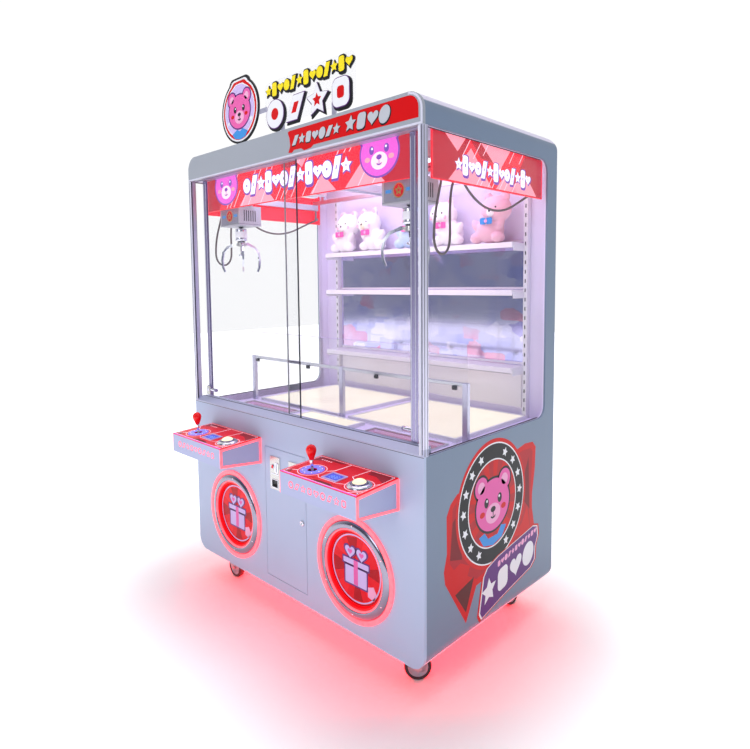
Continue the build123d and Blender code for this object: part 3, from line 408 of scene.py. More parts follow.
def star(cx, cy, r, inner=0.5, points=5, turn=90.0):
    """A star with its first point at the angle turn."""
    out = []
    for i in range(points * 2):
        rad = r if i % 2 == 0 else r * inner
        a = math.radians(turn + i * 180.0 / points)
        out.append((cx + rad * math.cos(a), cy + rad * math.sin(a)))
    return out


def heart(cx, cy, s, n=40):
    """A heart of half width s."""
    out = []
    for i in range(n):
        t = 2 * math.pi * i / n
        x = 16 * math.sin(t) ** 3
        y = 13 * math.cos(t) - 5 * math.cos(2 * t) - 2 * math.cos(3 * t) - math.cos(4 * t)
        out.append((cx - s * x / 16, cy + s * y / 16))
    return out


def rrect(x0, y0, x1, y1, r, n=6):
    """A rectangle with round corners."""
    out = []
    for cx, cy, a0 in (
        (x1 - r, y1 - r, 0), (x0 + r, y1 - r, 90), (x0 + r, y0 + r, 180), (x1 - r, y0 + r, 270)
    ):
        for i in range(n + 1):
            a = math.radians(a0 + 90.0 * i / n)
            out.append((cx + r * math.cos(a), cy + r * math.sin(a)))
    return out


def grow(pts, k, dx=0.0, dy=0.0):
    """An outline scaled about its middle and moved."""
    cx = sum(p[0] for p in pts) / len(pts)
    cy = sum(p[1] for p in pts) / len(pts)
    return [(cx + (x - cx) * k + dx, cy + (y - cy) * k + dy) for x, y in pts]


def shear(pts, k, y0):
    """An outline that leans to the right above y0."""
    return [(x + (y - y0) * k, y) for x, y in pts]


def finish_mesh(name, bm, material, body, bevel=0.0, smooth=False, matrix=None):
    """The mesh as a named object with its material, soft edges, body and slot."""
    if matrix is not None:
        bmesh.ops.transform(bm, matrix=matrix, verts=bm.verts)
    bmesh.ops.recalc_face_normals(bm, faces=bm.faces)
    mesh = bpy.data.meshes.new(name)
    bm.to_mesh(mesh)
    bm.free()
    if smooth:
        for f in mesh.polygons:
            f.use_smooth = True
    obj = bpy.data.objects.new(name, mesh)
    scene.collection.objects.link(obj)
    mesh.materials.append(M[material] if isinstance(material, str) else material)
    if bevel:
        mod = obj.modifiers.new("soft_edges", "BEVEL")
        mod.width = bevel
        mod.segments = 2
        mod.limit_method = "ANGLE"
        mod.angle_limit = math.radians(35)
    if body:
        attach(obj, body)
    return obj


def add_prism(bm, pts, w0, w1):
    """An outline drawn out from w0 to w1."""
    low = [bm.verts.new((x, y, w0)) for x, y in pts]
    high = [bm.verts.new((x, y, w1)) for x, y in pts]
    bm.faces.new(low)
    bm.faces.new(high)
    for i in range(len(pts)):
        j = (i + 1) % len(pts)
        bm.faces.new((low[i], low[j], high[j], high[i]))


def add_band(bm, outer, inner, w0, w1):
    """The band between two outlines, from w0 to w1."""
    loops = [[bm.verts.new((x, y, w)) for x, y in pts] for pts in (outer, inner) for w in (w0, w1)]
    a0, a1, b0, b1 = loops
    n = len(a0)
    for i in range(n):
        j = (i + 1) % n
        for q in (
            (a0[i], a0[j], a1[j], a1[i]), (b0[i], b0[j], b1[j], b1[i]), (a0[i], a0[j], b0[j], b0[i]),
            (a1[i], a1[j], b1[j], b1[i])
        ):
            bm.faces.new(q)


def add_box(bm, lo, hi):
    """A box between two opposite corners."""
    made = bmesh.ops.create_cube(bm, size=1.0)
    size = [h - l for l, h in zip(lo, hi)]
    mid = [(h + l) / 2 for l, h in zip(lo, hi)]
    bmesh.ops.scale(bm, vec=size, verts=made["verts"])
    bmesh.ops.translate(bm, vec=mid, verts=made["verts"])


def boxes(name, items, material, body, bevel=0.0008):
    """One object of several boxes, each from two opposite corners."""
    bm = bmesh.new()
    for lo, hi in items:
        add_box(bm, [min(a, b) for a, b in zip(lo, hi)], [max(a, b) for a, b in zip(lo, hi)])
    return finish_mesh(name, bm, material, body, bevel)


def place(origin, u, v):
    """A local frame with x along u and y along v."""
    u, v = Vector(u).normalized(), Vector(v).normalized()
    w = u.cross(v)
    return Matrix(
        ((u.x, v.x, w.x, origin[0]), (u.y, v.y, w.y, origin[1]), (u.z, v.z, w.z, origin[2]), (0, 0, 0, 1))
    )


def facing_front(origin):
    """Local x to the right and y up, looking out of the front."""
    return place(origin, (1, 0, 0), (0, 0, 1))


def mm(profile):
    """A profile in millimetres, as metres."""
    return [(r * 0.001, z * 0.001) for r, z in profile]


def lathe(name, profile, matrix, material, body, seg=56, closed=True):
    """Turns a list of (radius, height) round the local z axis."""
    bm = bmesh.new()
    rings = []
    for r, z in profile:
        if r < 1e-6:
            rings.append([bm.verts.new((0, 0, z))])
        else:
            rings.append(
                [
                    bm.verts.new(
                        (r * math.cos(2 * math.pi * i / seg), r * math.sin(2 * math.pi * i / seg), z)
                    )
                    for i in range(seg)
                ]
            )
    pairs = list(zip(rings, rings[1:]))
    if closed and profile[0][0] > 1e-6 and profile[-1][0] > 1e-6:
        pairs.append((rings[-1], rings[0]))
    for a, b in pairs:
        for i in range(seg):
            j = (i + 1) % seg
            if len(a) == 1 and len(b) == 1:
                continue
            if len(a) == 1:
                bm.faces.new((a[0], b[i], b[j]))
            elif len(b) == 1:
                bm.faces.new((a[i], a[j], b[0]))
            else:
                bm.faces.new((a[i], a[j], b[j], b[i]))
    obj = finish_mesh(name, bm, material, body, smooth=True, matrix=matrix)
    sharp_by_angle(obj, 40)
    return obj


def sharp_by_angle(obj, degrees):
    """Smooth shading that stops at edges sharper than the angle."""
    mesh = obj.data
    bm = bmesh.new()
    bm.from_mesh(mesh)
    for e in bm.edges:
        e.smooth = len(e.link_faces) != 2 or e.calc_face_angle(0) < math.radians(degrees)
    for f in bm.faces:
        f.smooth = True
    bm.to_mesh(mesh)
    bm.free()


LEVEL = 0.00016


def decals(prefix, matrix, items, body, start=0.0, step=LEVEL):
    """Flat shapes in thin levels: (points, level, material) or (outer, inner, level, material)."""
    groups = {}
    for item in items:
        groups.setdefault(item[-1], []).append(item)
    made = []
    for key, group in groups.items():
        bm = bmesh.new()
        for item in group:
            if len(item) == 4:
                add_band(bm, item[0], item[1], start, start + step * item[2])
            else:
                add_prism(bm, item[0], start, start + step * item[1])
        made.append(finish_mesh(prefix + "_" + key, bm, key, body, matrix=matrix))
    return made


def glyphs(x0, x1, y, h, count, first=0):
    """A row of plain shapes, which stands where the real object has lettering."""
    out = []
    pitch = (x1 - x0) / count
    for i in range(count):
        cx = x0 + pitch * (i + 0.5)
        s = min(pitch * 0.46, h * 0.5)
        kind = (i + first) % 5
        if kind == 0:
            out.append(star(cx, y, s * 1.12, 0.5))
        elif kind == 1:
            out.append(rrect(cx - s * 0.8, y - h * 0.46, cx + s * 0.8, y + h * 0.46, s * 0.5))
        elif kind == 2:
            out.append(heart(cx, y + s * 0.05, s))
        elif kind == 3:
            out.append(circle(cx, y, s, min(s * 1.15, h * 0.5)))
        else:
            out.append(
                [
                    (cx - s, y - h * 0.42), (cx + s * 0.2, y - h * 0.42), (cx + s, y + h * 0.42),
                    (cx - s * 0.2, y + h * 0.42)
                ]
            )
    return out


def bear(cx, cy, s, level, outline="black", fur="tan", muzzle="cream", eye="black", blush="pink"):
    """A plain teddy bear head."""
    items = []
    for d in (-1, 1):
        items.append((circle(cx + d * 0.7 * s, cy + 0.72 * s, 0.44 * s, n=32), level, outline))
        items.append((circle(cx + d * 0.7 * s, cy + 0.72 * s, 0.36 * s, n=32), level + 1, fur))
        items.append((circle(cx + d * 0.7 * s, cy + 0.72 * s, 0.2 * s, n=24), level + 2, muzzle))
        items.append((circle(cx + d * 0.4 * s, cy + 0.14 * s, 0.13 * s, 0.17 * s, 20), level + 3, eye))
        items.append((circle(cx + d * 0.37 * s, cy + 0.2 * s, 0.05 * s, n=12), level + 4, "white"))
        items.append((circle(cx + d * 0.64 * s, cy - 0.2 * s, 0.15 * s, 0.1 * s, 20), level + 3, blush))
    items.append((circle(cx, cy, 1.08 * s, 0.96 * s), level, outline))
    items.append((circle(cx, cy, 1.0 * s, 0.88 * s), level + 2, fur))
    items.append((circle(cx, cy - 0.3 * s, 0.44 * s, 0.34 * s, 32), level + 3, muzzle))
    items.append((circle(cx, cy - 0.16 * s, 0.15 * s, 0.1 * s, 20), level + 4, eye))
    items.append(
        (rrect(cx - 0.02 * s, cy - 0.42 * s, cx + 0.02 * s, cy - 0.2 * s, 0.015 * s), level + 4, eye)
    )
    items.append(
        (
            [
                (
                    cx + 0.16 * s * math.cos(math.radians(a)),
                    cy - 0.36 * s + 0.12 * s * math.sin(math.radians(a))
                )
                for a in range(200, 341, 20)
            ]
            + [
                (
                    cx + 0.12 * s * math.cos(math.radians(a)),
                    cy - 0.34 * s + 0.08 * s * math.sin(math.radians(a))
                )
                for a in range(340, 199, -20)
            ],
            level + 4, eye
        )
    )
    return items


FACE = facing_front((0, FRONT, 0))
RIGHT = place((0.72, FRONT, 0), (0, 1, 0), (0, 0, 1))


def dress(node, key, bevel=0.0):
    """A CAD node that keeps its shape gets its finish, and a small edge radius."""
    obj = NODES[node]
    obj.data.materials.clear()
    obj.data.materials.append(M[key])
    if bevel:
        mod = obj.modifiers.new("soft_edges", "BEVEL")
        mod.width = bevel
        mod.segments = 2
        mod.limit_method = "ANGLE"
        mod.angle_limit = math.radians(40)


for node, key, bevel in (
    ("base_frame", "base", 0.001), ("left_side_panel", "side", 0.0), ("right_side_panel", "side", 0.0),
    ("back_panel", "back", 0.0), ("header_canopy", "header", 0.0), ("front_panel", "front", 0.0),
    ("door_frame", "frame", 0.0008), ("glass_door_left", "glass", 0.0), ("glass_door_right", "glass", 0.0),
    ("door_stile_left", "stile", 0.001), ("door_stile_right", "stile", 0.001), ("side_glass", "glass", 0.0),
    ("marquee_panels", "lit_red", 0.0), ("mirror_panel", "mirror", 0.0), ("play_deck", "deck", 0.0),
    ("prize_chutes", "chute", 0.0), ("prize_flap_left", "flap", 0.0), ("prize_flap_right", "flap", 0.0),
    ("control_boxes", "box", 0.0008), ("control_plates", "overlay", 0.0),
    ("joystick_gimbal_left", "black_plastic", 0.0005), ("joystick_gimbal_right", "black_plastic", 0.0005),
    ("coin_door", "front", 0.0), ("coin_door_fittings", "steel", 0.0008),
    ("service_units", "grey_plastic", 0.002), ("gantry_rails", "alu_y", 0.001),
    ("bridge_left", "alu_x", 0.0015), ("bridge_right", "alu_x", 0.0015),
    ("trolley_left", "light_plastic", 0.004), ("trolley_right", "light_plastic", 0.004),
    ("caster_fork_left", "zinc", 0.0015), ("caster_fork_right", "zinc", 0.0015),
    ("rear_caster_forks", "zinc", 0.0015),
):
    dress(node, key, bevel)
for side, sign in SIDES:
    for number in (1, 2, 3):
        dress("claw_finger_%s_%d" % (side, number), "chrome", 0.0028)


# ---- side emblem -----------------------------------------------------------
emblem = [
    (
        [
            (0.142, 0.668), (0.18, 0.694), (0.25, 0.71), (0.64, 0.78), (0.70, 0.775), (0.725, 0.75),
            (0.72, 0.66), (0.70, 0.56), (0.70, 0.50), (0.72, 0.42), (0.70, 0.36), (0.30, 0.32),
            (0.235, 0.205), (0.112, 0.395), (0.105, 0.44), (0.122, 0.50), (0.12, 0.63)
        ],
        1, "red"
    ),
    (
        [
            (0.155, 0.65), (0.20, 0.68), (0.62, 0.755), (0.685, 0.752), (0.70, 0.735), (0.69, 0.61),
            (0.675, 0.50), (0.69, 0.40), (0.30, 0.345), (0.17, 0.42), (0.138, 0.46)
        ],
        2, "mid_red"
    ),
    ([(0.13, 0.42), (0.17, 0.385), (0.24, 0.37), (0.26, 0.41), (0.2, 0.44)], 3, "red"),
    ([(0.17, 0.335), (0.285, 0.36), (0.235, 0.245)], 3, "brown"),
    ([(0.56, 0.42), (0.62, 0.46), (0.66, 0.52), (0.69, 0.40)], 3, "red"),
    ([(0.60, 0.58), (0.68, 0.50), (0.668, 0.72)], 3, "dark_red"),
    ([(0.14, 0.47), (0.21, 0.45), (0.2, 0.63), (0.155, 0.60)], 3, "dark_red"),
]
RING_C, RING_Z = 0.408, 0.6
emblem += [
    (circle(RING_C, RING_Z, 0.236, 0.245, 72), 4, "red"),
    (circle(RING_C, RING_Z, 0.222, 0.230, 72), 5, "white"),
    (circle(RING_C, RING_Z, 0.217, 0.225, 72), 6, "black"),
    (circle(RING_C, RING_Z, 0.163, 0.169, 72), 7, "white"),
    (circle(RING_C, RING_Z, 0.158, 0.164, 72), 8, "mid_red"),
]
for i in range(7):
    for turn in (115 + i * 21, 65 - i * 21):
        a = math.radians(turn)
        emblem.append(
            (star(RING_C + 0.19 * math.cos(a), RING_Z + 0.197 * math.sin(a), 0.019, turn=turn), 7, "white")
        )
for i in range(14):
    a0 = math.radians(i * 360 / 14)
    a1 = math.radians((i + 0.5) * 360 / 14)
    emblem.append(([(RING_C, RING_Z), (RING_C + 0.156 * math.cos(a0), RING_Z + 0.162 * math.sin(a0)),
                    (RING_C + 0.156 * math.cos(a1), RING_Z + 0.162 * math.sin(a1))], 9, "red"))
emblem += bear(RING_C, RING_Z - 0.005, 0.112, 10, "black", "pink", "pale_pink", "black", "red")
emblem.append(
    (
        [
            (0.315, 0.492), (0.352, 0.50), (0.375, 0.472), (0.44, 0.472), (0.464, 0.50), (0.50, 0.492),
            (0.47, 0.452), (0.408, 0.438), (0.345, 0.452)
        ],
        10, "blue"
    )
)
plate_pts = [
    (0.335, 0.335), (0.36, 0.362), (0.44, 0.385), (0.72, 0.425), (0.755, 0.415), (0.762, 0.37),
    (0.74, 0.33), (0.735, 0.27), (0.70, 0.245), (0.45, 0.20), (0.32, 0.17), (0.305, 0.195)
]
emblem += [
    (plate_pts, 8, "red"),
    (grow(plate_pts, 0.955), 9, "white"),
    (grow(plate_pts, 0.925), 10, "purple"),
]
for pts in glyphs(0.335, 0.72, 0.29, 0.095, 4, 0):
    pts = [(x, y + (x - 0.52) * 0.16) for x, y in pts]
    emblem.append((pts, 11, "white"))
for pts in glyphs(0.44, 0.74, 0.372, 0.024, 12, 1):
    emblem.append(([(x, y + (x - 0.59) * 0.16) for x, y in pts], 11, "pale_pink"))
decals("side_emblem", RIGHT, emblem, "cabinet", step=0.00005)

# ---- header ----------------------------------------------------------------
plate = [(0.048, 2.008), (0.06, 2.012)] + [
    (0.66 + 0.042 * math.cos(math.radians(a)), 1.97 + 0.042 * math.sin(math.radians(a)))
    for a in range(90, -1, -15)
]
plate += [
    (0.702, 1.938), (0.2, 1.938), (0.185, 1.929), (0.145, 1.926), (0.128, 1.936), (0.085, 1.937),
    (0.072, 1.928), (0.05, 1.931), (0.062, 1.955), (0.058, 1.985)
]
head_items = [(plate, 2, "red")]
for pts in glyphs(0.075, 0.345, 1.972, 0.042, 7, 4):
    head_items.append((shear(grow(pts, 1.12, 0.0025, -0.0025), 0.2, 1.972), 3, "black"))
    head_items.append((shear(pts, 0.2, 1.972), 4, "silver"))
for pts in glyphs(0.37, 0.585, 1.976, 0.058, 4, 0):
    head_items.append((shear(grow(pts, 1.12, 0.003, -0.003), 0.2, 1.976), 3, "black"))
    head_items.append((shear(pts, 0.2, 1.976), 4, "silver"))
decals("header_print", FACE, head_items, "cabinet")
trim_line = [(-0.718, 1.917), (0.7185, 1.917), (0.7185, 1.964)] + [
    (0.66 + 0.0585 * math.cos(math.radians(a)), 1.964 + 0.0585 * math.sin(math.radians(a)))
    for a in range(0, 91, 10)
]
trim_back = [(-0.718, 1.9235), (0.7115, 1.9235), (0.7115, 1.964)] + [
    (0.66 + 0.0515 * math.cos(math.radians(a)), 1.964 + 0.0515 * math.sin(math.radians(a)))
    for a in range(0, 91, 10)
]
bm = bmesh.new()
for i in range(len(trim_line) - 1):
    add_prism(bm, [trim_line[i], trim_line[i + 1], trim_back[i + 1], trim_back[i]], 0, 0.0015)
finish_mesh("header_trim", bm, "trim", "cabinet", matrix=FACE)

# ---- roof sign -------------------------------------------------------------
SIGN = facing_front((0, FRONT + 0.016, 0))


def union_outline(k):
    """The badge's outline, an oval with a rounded tab on top, shrunk by k metres."""
    pts = []
    for i in range(96):
        a = 2 * math.pi * i / 96
        x, y = (0.138 - k) * math.cos(a), (0.136 - k) * math.sin(a)
        tab = 0.075 - k
        if math.sin(a) > 0 and abs(x) < tab:
            corner = 0.03
            edge = max(0.0, abs(x) - (tab - corner))
            y = max(y, 0.138 - k - (corner - math.sqrt(max(0.0, corner ** 2 - edge ** 2))))
        pts.append((-0.289 + x, 2.162 + y))
    return pts


badge = [
    (union_outline(0.0), 6, "black"),
    (union_outline(0.009), 6.5, "white"),
    (union_outline(0.016), 7, "red"),
    (union_outline(0.027), 7.4, "white"),
    (union_outline(0.031), 7.8, "lilac"),
]
for x, y, r in ((-0.36, 2.22, 0.013), (-0.22, 2.225, 0.011), (-0.372, 2.12, 0.01), (-0.205, 2.115, 0.013)):
    badge.append((star(x, y, r), 8.1, "white"))
badge += [
    (p, 8 + (lv - 8) * 0.28, k) for p, lv,
    k in bear(-0.289, 2.158, 0.078, 9, "purple", "pink", "pale_pink", "black", "red")
]
badge.append(
    (
        [
            (-0.345, 2.07), (-0.31, 2.086), (-0.289, 2.076), (-0.268, 2.086), (-0.233, 2.07), (-0.25, 2.05),
            (-0.289, 2.042), (-0.328, 2.05)
        ],
        8.2, "blue"
    )
)
made = decals("sign_badge", SIGN, badge, "cabinet", step=0.001)
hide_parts("roof_sign")
word = []
for pts in glyphs(-0.1, 0.405, 2.193, 0.056, 13, 0):
    word.append((grow(pts, 1.3, 0.002, -0.003), 7, "black"))
    word.append((pts, 8, "yellow"))
for pts in glyphs(-0.105, 0.405, 2.098, 0.108, 4, 3):
    word.append((grow(pts, 1.13, 0.006, -0.007), 6.4, "black"))
    word.append((grow(pts, 1.06), 7.4, "purple"))
    word.append((pts, 8.4, "white"))
    word.append((grow(pts, 0.42), 9, "red"))
decals("sign_word", SIGN, word, "cabinet", step=0.001)
bm = bmesh.new()
add_prism(bm, rrect(-0.112, 2.054, 0.412, 2.227, 0.028), 0.001, 0.004)
finish_mesh("sign_backing", bm, "sign_clear", "cabinet", 0.0006, matrix=SIGN)
bm = bmesh.new()
for x in (-0.289, 0.0, 0.3):
    add_prism(bm, rrect(x - 0.012, 2.0245, x + 0.012, 2.075, 0.004), 0.0005, 0.0035)
    add_box(bm, (x - 0.014, 2.0242, -0.028), (x + 0.014, 2.0275, 0.004))
add_prism(bm, [(-0.17, 2.12), (-0.1, 2.12), (-0.1, 2.14), (-0.17, 2.14)], 0.001, 0.003)
finish_mesh("sign_stays", bm, "alu", "cabinet", 0.0006, matrix=SIGN)

# ---- marquees --------------------------------------------------------------
MARQ_Z0, MARQ_Z1 = 1.774, 1.986


def marquee_print(prefix, matrix, x0, x1, z0, z1, heads, words, count, seed):
    """Red lit banner: dark corners, stripes, pale triangles, a row of shapes and bear heads."""
    rng = random.Random(seed)
    items = []
    h = z1 - z0
    mid = (x0 + x1) / 2

    def clip(pts):
        return [(min(x1 - 0.002, max(x0 + 0.002, x)), y) for x, y in pts]

    items.append((clip([(x0, z0), (x0 + 0.1, z0), (x0 + 0.22, z1), (x0, z1)]), 1, "lit_dark"))
    items.append((clip([(x1 - 0.24, z0), (x1, z0), (x1, z1), (x1 - 0.12, z1)]), 1, "lit_dark"))
    items.append(
        (
            clip(
                [(mid - 0.16, z1), (mid + 0.1, z1), (mid + 0.02, z0 + 0.55 * h), (mid - 0.08, z0 + 0.6 * h)]
            ),
            1, "lit_dark"
        )
    )
    for cx, w in (
        (x0 + 0.3 * (x1 - x0), 0.13), (x0 + 0.63 * (x1 - x0), 0.075), (x0 + 0.8 * (x1 - x0), 0.1)
    ):
        items.append(
            (clip([(cx - w, z0 + 0.002), (cx + w, z0 + 0.002), (cx, z0 + w * 0.95)]), 2, "lit_pink")
        )
    for cx, w in ((x0 + 0.52 * (x1 - x0), 0.11), (x0 + 0.17 * (x1 - x0), 0.07)):
        items.append(
            (
                clip([(cx - w, z1 - 0.002), (cx + w, z1 - 0.002), (cx + 0.2 * w, z1 - w * 0.9)]), 2,
                "lit_pink"
            )
        )
    x = x0 + 0.16
    while x < x1 - 0.16:
        if rng.random() < 0.72:
            up = rng.choice((True, False))
            a, b = (
                z0 + 0.002, z0 + h * rng.uniform(0.3, 0.5)
            ) if up else (z1 - h * rng.uniform(0.3, 0.5), z1 - 0.002)
            d = (b - a) * 0.75
            items.append(([(x, a), (x + 0.0035, a), (x + 0.0035 + d, b), (x + d, b)], 3, "lit_pale"))
        x += rng.uniform(0.016, 0.034)
    for pts in glyphs(words[0], words[1], (z0 + z1) / 2 - 0.022, h * 0.4, count, seed):
        items.append((grow(pts, 1.34, 0.003, -0.003), 4, "lit_purple"))
        items.append((grow(pts, 1.12), 5, "lit_white"))
        items.append((grow(pts, 0.78), 6, "lit_pale"))
        items.append((grow(pts, 0.62), 7, "lit_white"))
        items.append((grow(pts, 0.2), 8, "lit_purple"))
    for hx in heads:
        items += [
            (
                p, lv,
                {
                    "black": "lit_purple", "white": "lit_white", "pink": "lit_pink",
                    "pale_pink": "lit_pale", "blue": "lit_blue"
                }.get(k, k)
            )
            for p, lv,
            k in bear(
                hx, (z0 + z1) / 2 - 0.004, h * 0.42, 5, "black", "lit_magenta", "pale_pink", "black", "pink"
            )
        ]
    return decals(prefix, matrix, items, "cabinet", step=0.00008)


marquee_print("marquee_front", facing_front((0, FRONT + 0.066, 0)), -0.66, 0.66, MARQ_Z0, MARQ_Z1,
              (-0.5, 0.47), (-0.36, 0.33), 13, 3)
marquee_print(
    "marquee_right", place((0.696, FRONT, 0), (0, 1, 0), (0, 0, 1)), 0.078, 0.79, 1.766, 1.93, (),
    (0.2, 0.7), 13, 5
)
marquee_print(
    "marquee_left", place((-0.696, FRONT, 0), (0, -1, 0), (0, 0, 1)), -0.79, -0.078, 1.766, 1.93, (),
    (-0.7, -0.2), 13, 8
)

# ---- window edges, gaskets, locks ------------------------------------------
def window_edges(side, sign):
    """Gaskets and beads round the side glass and the corner, and the trim and lock of the sliding pane."""
    x = sign * 0.7075
    boxes("side_gasket_" + side, [
        ((x, FRONT + 0.026, 0.862), (x + sign * 0.0008, FRONT + 0.76, 0.8655)),
        ((x, FRONT + 0.026, 1.9125), (x + sign * 0.0008, FRONT + 0.76, 1.916)),
        ((x, FRONT + 0.026, 0.864), (x + sign * 0.0008, FRONT + 0.0295, WINDOW_TOP)),
    ], "gasket", "cabinet", 0.0)
    boxes("corner_bead_" + side, [
        ((sign * 0.6985, FRONT + 0.0015, 0.875), (sign * 0.7, FRONT + 0.006, WINDOW_TOP)),
        ((sign * 0.7125, FRONT - 0.0008, 0.871), (sign * 0.7145, FRONT + 0.002, WINDOW_TOP)),
        ((sign * 0.7195, FRONT + 0.004, 0.865), (sign * 0.7202, FRONT + 0.0065, WINDOW_TOP)),
        ((sign * 0.7195, FRONT + 0.0185, 0.865), (sign * 0.7202, FRONT + 0.0205, WINDOW_TOP)),
    ], "gasket", "cabinet", 0.0)
    boxes(
        "corner_cap_" + side,
        [((sign * 0.7, FRONT - 0.0015, 0.868), (sign * 0.7105, FRONT + 0.001, WINDOW_TOP))], "trim",
        "cabinet", 0.0005
    )
    c = 0.036 if side == "left" else 0.050
    edge = -sign * 0.048
    boxes("pane_edge_" + side, [
        ((edge, FRONT + c, 0.881), (edge + sign * 0.0022, FRONT + c + 0.006, WINDOW_TOP)),
    ], "gasket" if side == "left" else "grey_plastic", "door_" + side, 0.0)
    boxes("stile_groove_" + side, [
        ((sign * 0.6272, FRONT + c - 0.0022, 0.9), (sign * 0.6292, FRONT + c - 0.001, 1.9)),
        ((sign * 0.6448, FRONT + c - 0.0022, 0.9), (sign * 0.6468, FRONT + c - 0.001, 1.9)),
    ], "silver", "door_" + side, 0.0)
    lock_c = 0.0215 if side == "left" else 0.0745
    face = -1 if side == "left" else 1
    spot = (sign * 0.631, FRONT + lock_c, 0.924)
    to_front = facing_front(spot) if face < 0 else place(spot, (-1, 0, 0), (0, 0, 1))
    lathe(
        "lock_barrel_" + side,
        [(0.0, 0.006), (0.0015, 0.006), (0.0085, 0.0052), (0.0095, 0.004), (0.0095, -0.001), (0.0, -0.001)],
        to_front, "chrome", "door_" + side, 32
    )
    barrel_c = 0.027 if side == "left" else 0.068
    lathe(
        "lock_body_" + side,
        mm(((0, 46), (5, 46), (6, 45), (6, 41), (8.1, 40), (8.4, 39), (8.4, 4), (8.1, 3), (0, 3))),
        place((sign * 0.6175, FRONT + barrel_c, 0.924), (0, 1, 0), (0, 0, sign * -1.0)), "chrome",
        "door_" + side, 32
    )
    boxes(
        "lock_plate_" + side,
        [
            (
                (sign * 0.6325 - 0.0145, FRONT + barrel_c - 0.0092, 0.8995),
                (sign * 0.6325 + 0.0145, FRONT + barrel_c + 0.0087, 0.9405)
            ),
        ],
        "steel", "door_" + side, 0.0015
    )
    boxes(
        "lock_key_" + side,
        [
            (
                (sign * 0.6298, FRONT + lock_c + face * 0.006, 0.918),
                (sign * 0.6322, FRONT + lock_c + face * 0.0064, 0.93)
            )
        ],
        "black_plastic", "door_" + side, 0.0
    )


for side, sign in SIDES:
    window_edges(side, sign)
boxes(
    "sill_line",
    [
        ((-0.7198, FRONT - 0.0004, 0.8606), (0.7198, FRONT + 0.004, 0.8622)),
        ((-0.7, FRONT + 0.0302, 0.8862), (0.7, FRONT + 0.0325, 0.8872))
    ],
    "gasket", "cabinet", 0.0
)

# ---- control boxes ---------------------------------------------------------
TILT = math.atan(11.0 / 200)
STICK, SCREEN, BUTTON = (-0.102, -0.027), (0.017, -0.029), (0.138, -0.028)


def on_plate(side, at=(0, 0)):
    """The frame of a control plate, moved to a place on it."""
    base = place((BOX_X[side], -0.438, 0.7675), (1, 0, 0), (0, math.cos(TILT), math.sin(TILT)))
    return base @ Matrix.Translation((at[0], at[1], 0))


